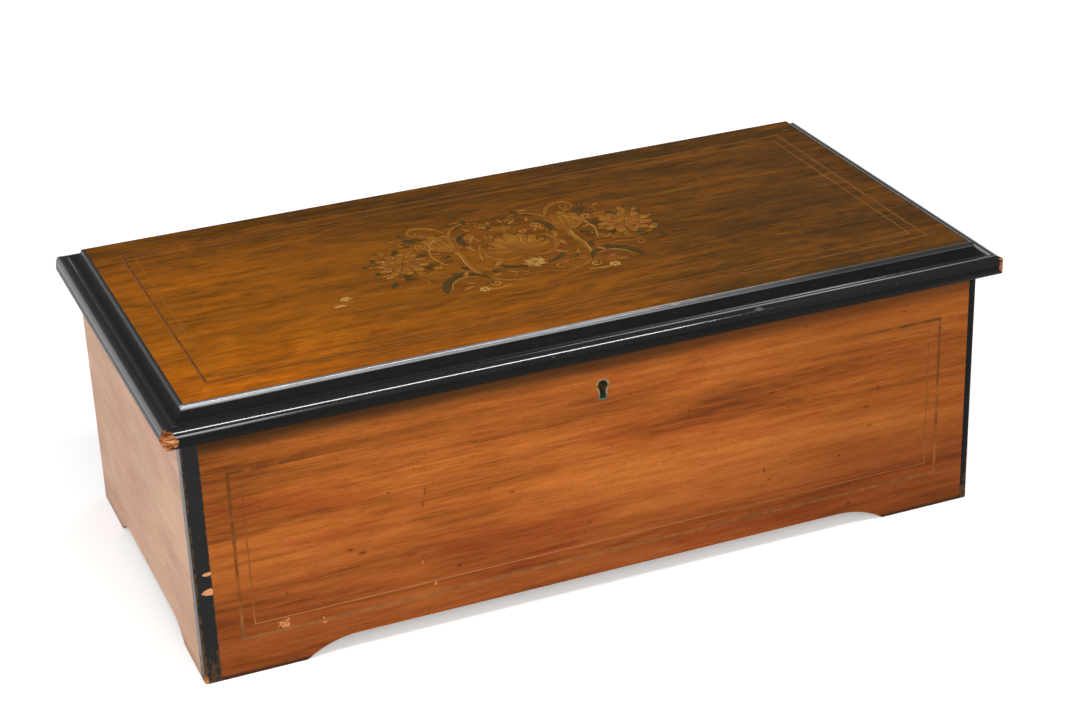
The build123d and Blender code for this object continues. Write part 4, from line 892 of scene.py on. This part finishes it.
class Marquetry:
    """Motifs in five woods, in millimetres; each lies a hair over the ones cut before it."""

    def __init__(self):
        self.shapes = {name: [] for name in ("honey", "rose", "pale", "olive", "brown")}
        self.level = 0

    def cut(self, wood, outline, border=None, mirror=True):
        """Adds a motif, its dark border under it, and both reflected."""
        for flip in ((False, True) if mirror else (False,)):
            for name, line, lift in (("brown", border, 0), (wood, outline, 1)):
                if line:
                    points = [(MIDDLE - x if flip else MIDDLE + x, y) for x, y in line]
                    self.shapes[name].append((points, self.level * 2 + lift))
        self.level = (self.level + 1) % INLAY_LEVELS

    def vine(self, wood, points, mirror=True, edge=EDGE):
        """A line that swells and thins."""
        wide = [(x, y, w + edge) for x, y, w in points]
        self.cut(wood, ribbon(points), ribbon(wide) if edge else None, mirror)

    def leaf(self, wood, x, y, length, width, angle, tip=0.8, mirror=True, edge=EDGE):
        """A leaf or petal that starts at x, y."""
        c, s = heading(angle)
        wide = petal(x - edge / 2 * c, y - edge / 2 * s, length + edge, width + edge, angle, tip)
        self.cut(wood, petal(x, y, length, width, angle, tip), wide if edge else None, mirror)

    def vein(self, wood, x, y, length, angle, width=0.6):
        """A hairline without a border."""
        c, s = heading(angle)
        self.vine(wood, [(x, y, width * 0.5), (x + length / 2 * c, y + length / 2 * s, width),
                         (x + length * c, y + length * s, width * 0.3)], edge=0)

    def rosette(self, woods, x, y, reach, petals, start=0, mirror=True):
        """Rings of petals round a bud, from the outside in."""
        for ring, wood in enumerate(woods):
            size = reach * (1 - 0.27 * ring)
            count = petals - ring * 2
            for k in range(count):
                turn = start + 17 * ring + 360 * k / count
                c, s = heading(turn)
                self.leaf(wood, x + size * 0.12 * c, y + size * 0.12 * s, size * 0.88,
                          size * 3.6 / count, turn, 1.1, mirror)
                if ring == 0:
                    self.vein("pale", x + size * 0.45 * c, y + size * 0.45 * s, size * 0.45, turn)
        self.vine("pale", scroll(x, y, reach * 0.2, start, 1.0, 0.8), mirror)


def long_scrolls(m):
    """The scroll from the blossom round the shell to the foot, and the ones beside it."""
    m.vine("honey", [(66, 24, 1.5), (54, 30, 3.0), (44, 22, 4.2), (41, 4, 4.6), (42, -16, 4.0),
                     (40, -34, 3.2), (31, -47, 2.6), (16, -53, 2.2), (4, -49, 1.2)])
    m.vine("pale", [(56, 28, 0.3), (46, 22, 0.7), (42.5, 4, 0.8), (43.5, -16, 0.7),
                    (41, -34, 0.4)], edge=0)
    m.vine("honey", [(36, 40, 1.2), (44, 56, 3.6), (56, 62, 3.4), (62, 54, 2.2), (57, 47, 1.5),
                     (52, 51, 1.0)])
    m.vine("honey", [(10, 51, 1.0), (22, 55, 2.2), (34, 46, 2.8), (38, 32, 1.4)])
    m.vine("honey", [(52, 8, 1.6), (60, -8, 2.4), (74, -18, 2.6), (92, -15, 1.8), (101, -3, 1.0)])
    m.vine("rose", [(45, -20, 1.0), (56, -24, 1.8), (66, -22, 2.0), (76, -26, 1.4),
                    (84, -22, 0.8)])


def fan_and_blossom(m):
    """The tall leaf that fans out above the scroll, then the blossom on its ring of leaves."""
    for turn, length in ((128, 20), (112, 27), (50, 25), (66, 31), (96, 32), (81, 35)):
        m.leaf("rose" if turn % 3 else "honey", 44, 11, length, 8.5, turn, 1.0)
        m.vein("brown", 44, 13, length * 0.8, turn, 0.5)
    x, y = BLOSSOM
    for turn in range(0, 360, 30):
        c, s = heading(turn)
        m.leaf("olive" if turn % 60 else "honey", x + 12 * c, y + 14 * s, 11, 5.0, turn + 22, 0.7)
    m.rosette(("honey", "rose", "honey", "rose"), x, y, 19.5, 11, 8)


def leaves(m):
    """Dark curved leaves below, and small ones of both colours beside the scrolls."""
    m.vine("olive", [(37, -42, 0.8), (42, -33, 3.6), (53, -29, 5.2), (64, -35, 6.0),
                     (70, -46, 4.8), (71, -52, 1.0)])
    m.vine("pale", [(42, -36, 0.3), (53, -32.5, 0.7), (62, -38, 0.7), (66, -47, 0.3)], edge=0)
    m.vine("olive", [(25, 37, 0.8), (31, 33, 3.4), (33, 24, 4.4), (30, 16, 1.0)])
    for x, y, size, turn in ((62, 37, 11, 60), (69, 32, 10, 84), (56, 40, 9, 30),
                             (58, -24, 9, 205), (48, -14, 9, 250), (96, -20, 9, 300),
                             (30, 47, 8, 140), (20, 53, 8, 100)):
        m.leaf("olive", x, y, size, size * 0.42, turn)
    for x, y, size, turn in ((30, 4, 12, 80), (31, -12, 12, 100), (28, -26, 12, 135),
                             (28, 20, 11, 115), (47, -24, 9, 300), (35, -40, 9, 160),
                             (50, 44, 9, 20), (24, 46, 8, 250)):
        m.leaf("rose", x, y, size, size * 0.45, turn)
        m.vein("pale", x, y, size * 0.8, turn, 0.5)
    m.vine("pale", [(28, -57, 0.4), (38, -59, 1.0), (50, -58, 0.5)], edge=0)
    m.rosette(("pale",), 47, -57, 4.2, 6)
    m.vine("pale", [(48, 38, 0.4), (56, 26, 0.8), (60, 8, 0.8), (55, -10, 0.5)], edge=0)


def fillings(m):
    """Small leaves, curls and hairlines between the larger motifs."""
    for wood, x, y, size, turn in (
            ("honey", 60, 20, 9, 150), ("rose", 60, 14, 8, 200), ("olive", 56, 4, 8, 170),
            ("honey", 66, -8, 9, 215), ("rose", 72, -13, 8, 330), ("olive", 80, -17, 9, 350),
            ("honey", 88, 26, 9, 75), ("rose", 95, 22, 8, 50), ("olive", 101, 12, 8, 15),
            ("honey", 36, 20, 9, 200), ("rose", 20, 20, 8, 60), ("olive", 14, 38, 9, 160),
            ("honey", 8, 40, 8, 40), ("rose", 16, -40, 8, 30), ("olive", 24, -34, 8, 20),
            ("honey", 35, -22, 9, 250), ("rose", 55, -42, 8, 200), ("honey", 60, -52, 9, 160),
            ("olive", 44, -48, 8, 190), ("honey", 50, 30, 8, 100), ("rose", 74, 44, 8, 35),
            ("olive", 66, 48, 8, 70), ("honey", 30, 58, 8, 170), ("rose", 5, 44, 7, 100)):
        m.leaf(wood, x, y, size, size * 0.46, turn, edge=0.5)
        m.vein("pale", x, y, size * 0.75, turn, 0.4)
    for wood, x, y, reach, turn, turns, width, hand in (
            ("pale", 62, 30, 4.6, 200, 1.1, 0.8, 1), ("pale", 36, -50, 4.2, 20, 1.1, 0.8, -1),
            ("pale", 24, 30, 4.4, 300, 1.2, 0.8, 1), ("brown", 52, -2, 5.0, 90, 1.1, 0.8, -1),
            ("honey", 78, -30, 4.6, 120, 1.1, 1.2, -1), ("brown", 18, 6, 5.0, 250, 1.0, 0.8, 1),
            ("pale", 98, -10, 4.0, 30, 1.0, 0.7, 1), ("honey", 72, 38, 4.4, 240, 1.1, 1.1, -1),
            ("rose", 20, -48, 4.0, 160, 1.1, 1.0, 1), ("pale", 12, 24, 3.6, 60, 1.0, 0.7, -1)):
        m.vine(wood, scroll(x, y, reach, turn, turns, width, hand), edge=0)
    x, y = BLOSSOM
    for turn in range(10, 360, 40):
        c, s = heading(turn)
        m.vine("pale", scroll(x + 13.5 * c, y + 13.5 * s, 3.2, turn + 90, 0.8, 0.7), edge=0)
        m.vein("brown", x + 6 * c, y + 6 * s, 9, turn, 0.5)


def buds_and_shell(m):
    """The scrolls' buds, then the cartouche and the shell in the middle."""
    m.vine("honey", scroll(14, -44, 7.0, 250, 1.2, 1.8))
    m.vine("honey", scroll(10, 46, 5.4, 90, 1.2, 1.5, -1))
    m.vine("honey", scroll(56, 52, 4.6, 30, 1.1, 1.3))
    m.vine("honey", [(2, -14, 1.0), (12, -19, 3.2), (23, -12, 3.8), (28, 2, 3.2), (23, 14, 1.4)])
    m.vine("olive", [(3, -36, 0.8), (12, -33, 3.0), (21, -27, 3.2), (26, -18, 0.8)])
    for k in (4, 3, 2, 1):
        m.leaf("rose" if k % 2 else "honey", 0, -6, 30 - k * 1.6, 8.4, 90 - 19 * k, 1.2)
        m.vein("pale", 0, -6, 25 - k, 90 - 19 * k, 0.7)
    m.leaf("honey", 0, -6, 31, 8.4, 90, 1.2, mirror=False)
    m.leaf("rose", 0, 25, 14, 7, 90, 0.6, mirror=False)
    for turn in (40, 65, 115, 140):
        m.leaf("honey", 0, 30, 11, 4.4, turn, 0.8, mirror=False)
    m.rosette(("rose", "pale"), 0, -30, 10, 8, 0, False)


def marquetry():
    """Scrolls, leaves, a blossom at each end and a shell in the middle, in five woods."""
    m = Marquetry()
    for part in (long_scrolls, fan_and_blossom, leaves, fillings, buds_and_shell):
        part(m)
    for name, pale, deep, seed, turn in (
            ("honey", (0.30, 0.119, 0.009), (0.15, 0.054, 0.004), 1, 0.5),
            ("rose", (0.29, 0.100, 0.011), (0.15, 0.048, 0.005), 2, 2.1),
            ("pale", (0.46, 0.245, 0.062), (0.27, 0.125, 0.024), 3, 1.2),
            ("olive", (0.080, 0.045, 0.008), (0.040, 0.023, 0.004), 4, 0.9),
            ("brown", (0.062, 0.022, 0.003), (0.034, 0.013, 0.002), 5, 0.2)):
        wood = inlay_wood("marquetry_" + name, pale, deep, seed, turn)
        piece("marquetry_" + name, flat_pieces(m.shapes[name]), wood, "lid")


# ---- cylinder pins

def cylinder_pins():
    """Short steel pins set in the cylinder, in rows round it for each tooth of the comb."""
    axis_y, axis_z, radius, reach = 0.020, 0.087, 0.027, 0.0008
    start, pitch, teeth = -0.110, 0.0039, 60
    shift, beats = 0.00045, 96      # between the rows of two tunes, and places round the cylinder
    root, tip = 0.00019, 0.00013    # a pin's radii
    bm = bmesh.new()
    for tooth in range(teeth):
        middle = start + (tooth + 0.4) * pitch
        busy = 16 + int(8 * math.sin(tooth / teeth * math.pi)) + chance.randrange(6)
        for _ in range(busy):
            x = middle + chance.randrange(-3, 5) * shift
            turn = chance.randrange(0, beats) * 2 * math.pi / beats
            turn += 0.02 * chance.random()
            spin = Matrix.Translation((x, axis_y, axis_z)) @ Matrix.Rotation(turn, 4, "X")
            out = Matrix.Translation((0, 0, radius + reach / 2 - 0.0001))
            bmesh.ops.create_cone(bm, cap_ends=True, segments=5, radius1=root, radius2=tip,
                                  depth=reach, matrix=spin @ out)
    steel = metal("pin_steel", (0.62, 0.60, 0.56), STEEL_AGED, 0.3, (900, 900, 900))
    piece("cylinder_pins", bm, steel, "cylinder")


set_camera()
for row in LAMPS:
    lamp(*row)
set_world()
set_floor()
dress_all()
lid_top()
corner_strips()
stringing()
marquetry()
cylinder_pins()

bpy.context.scene.view_settings.view_transform = "Standard"
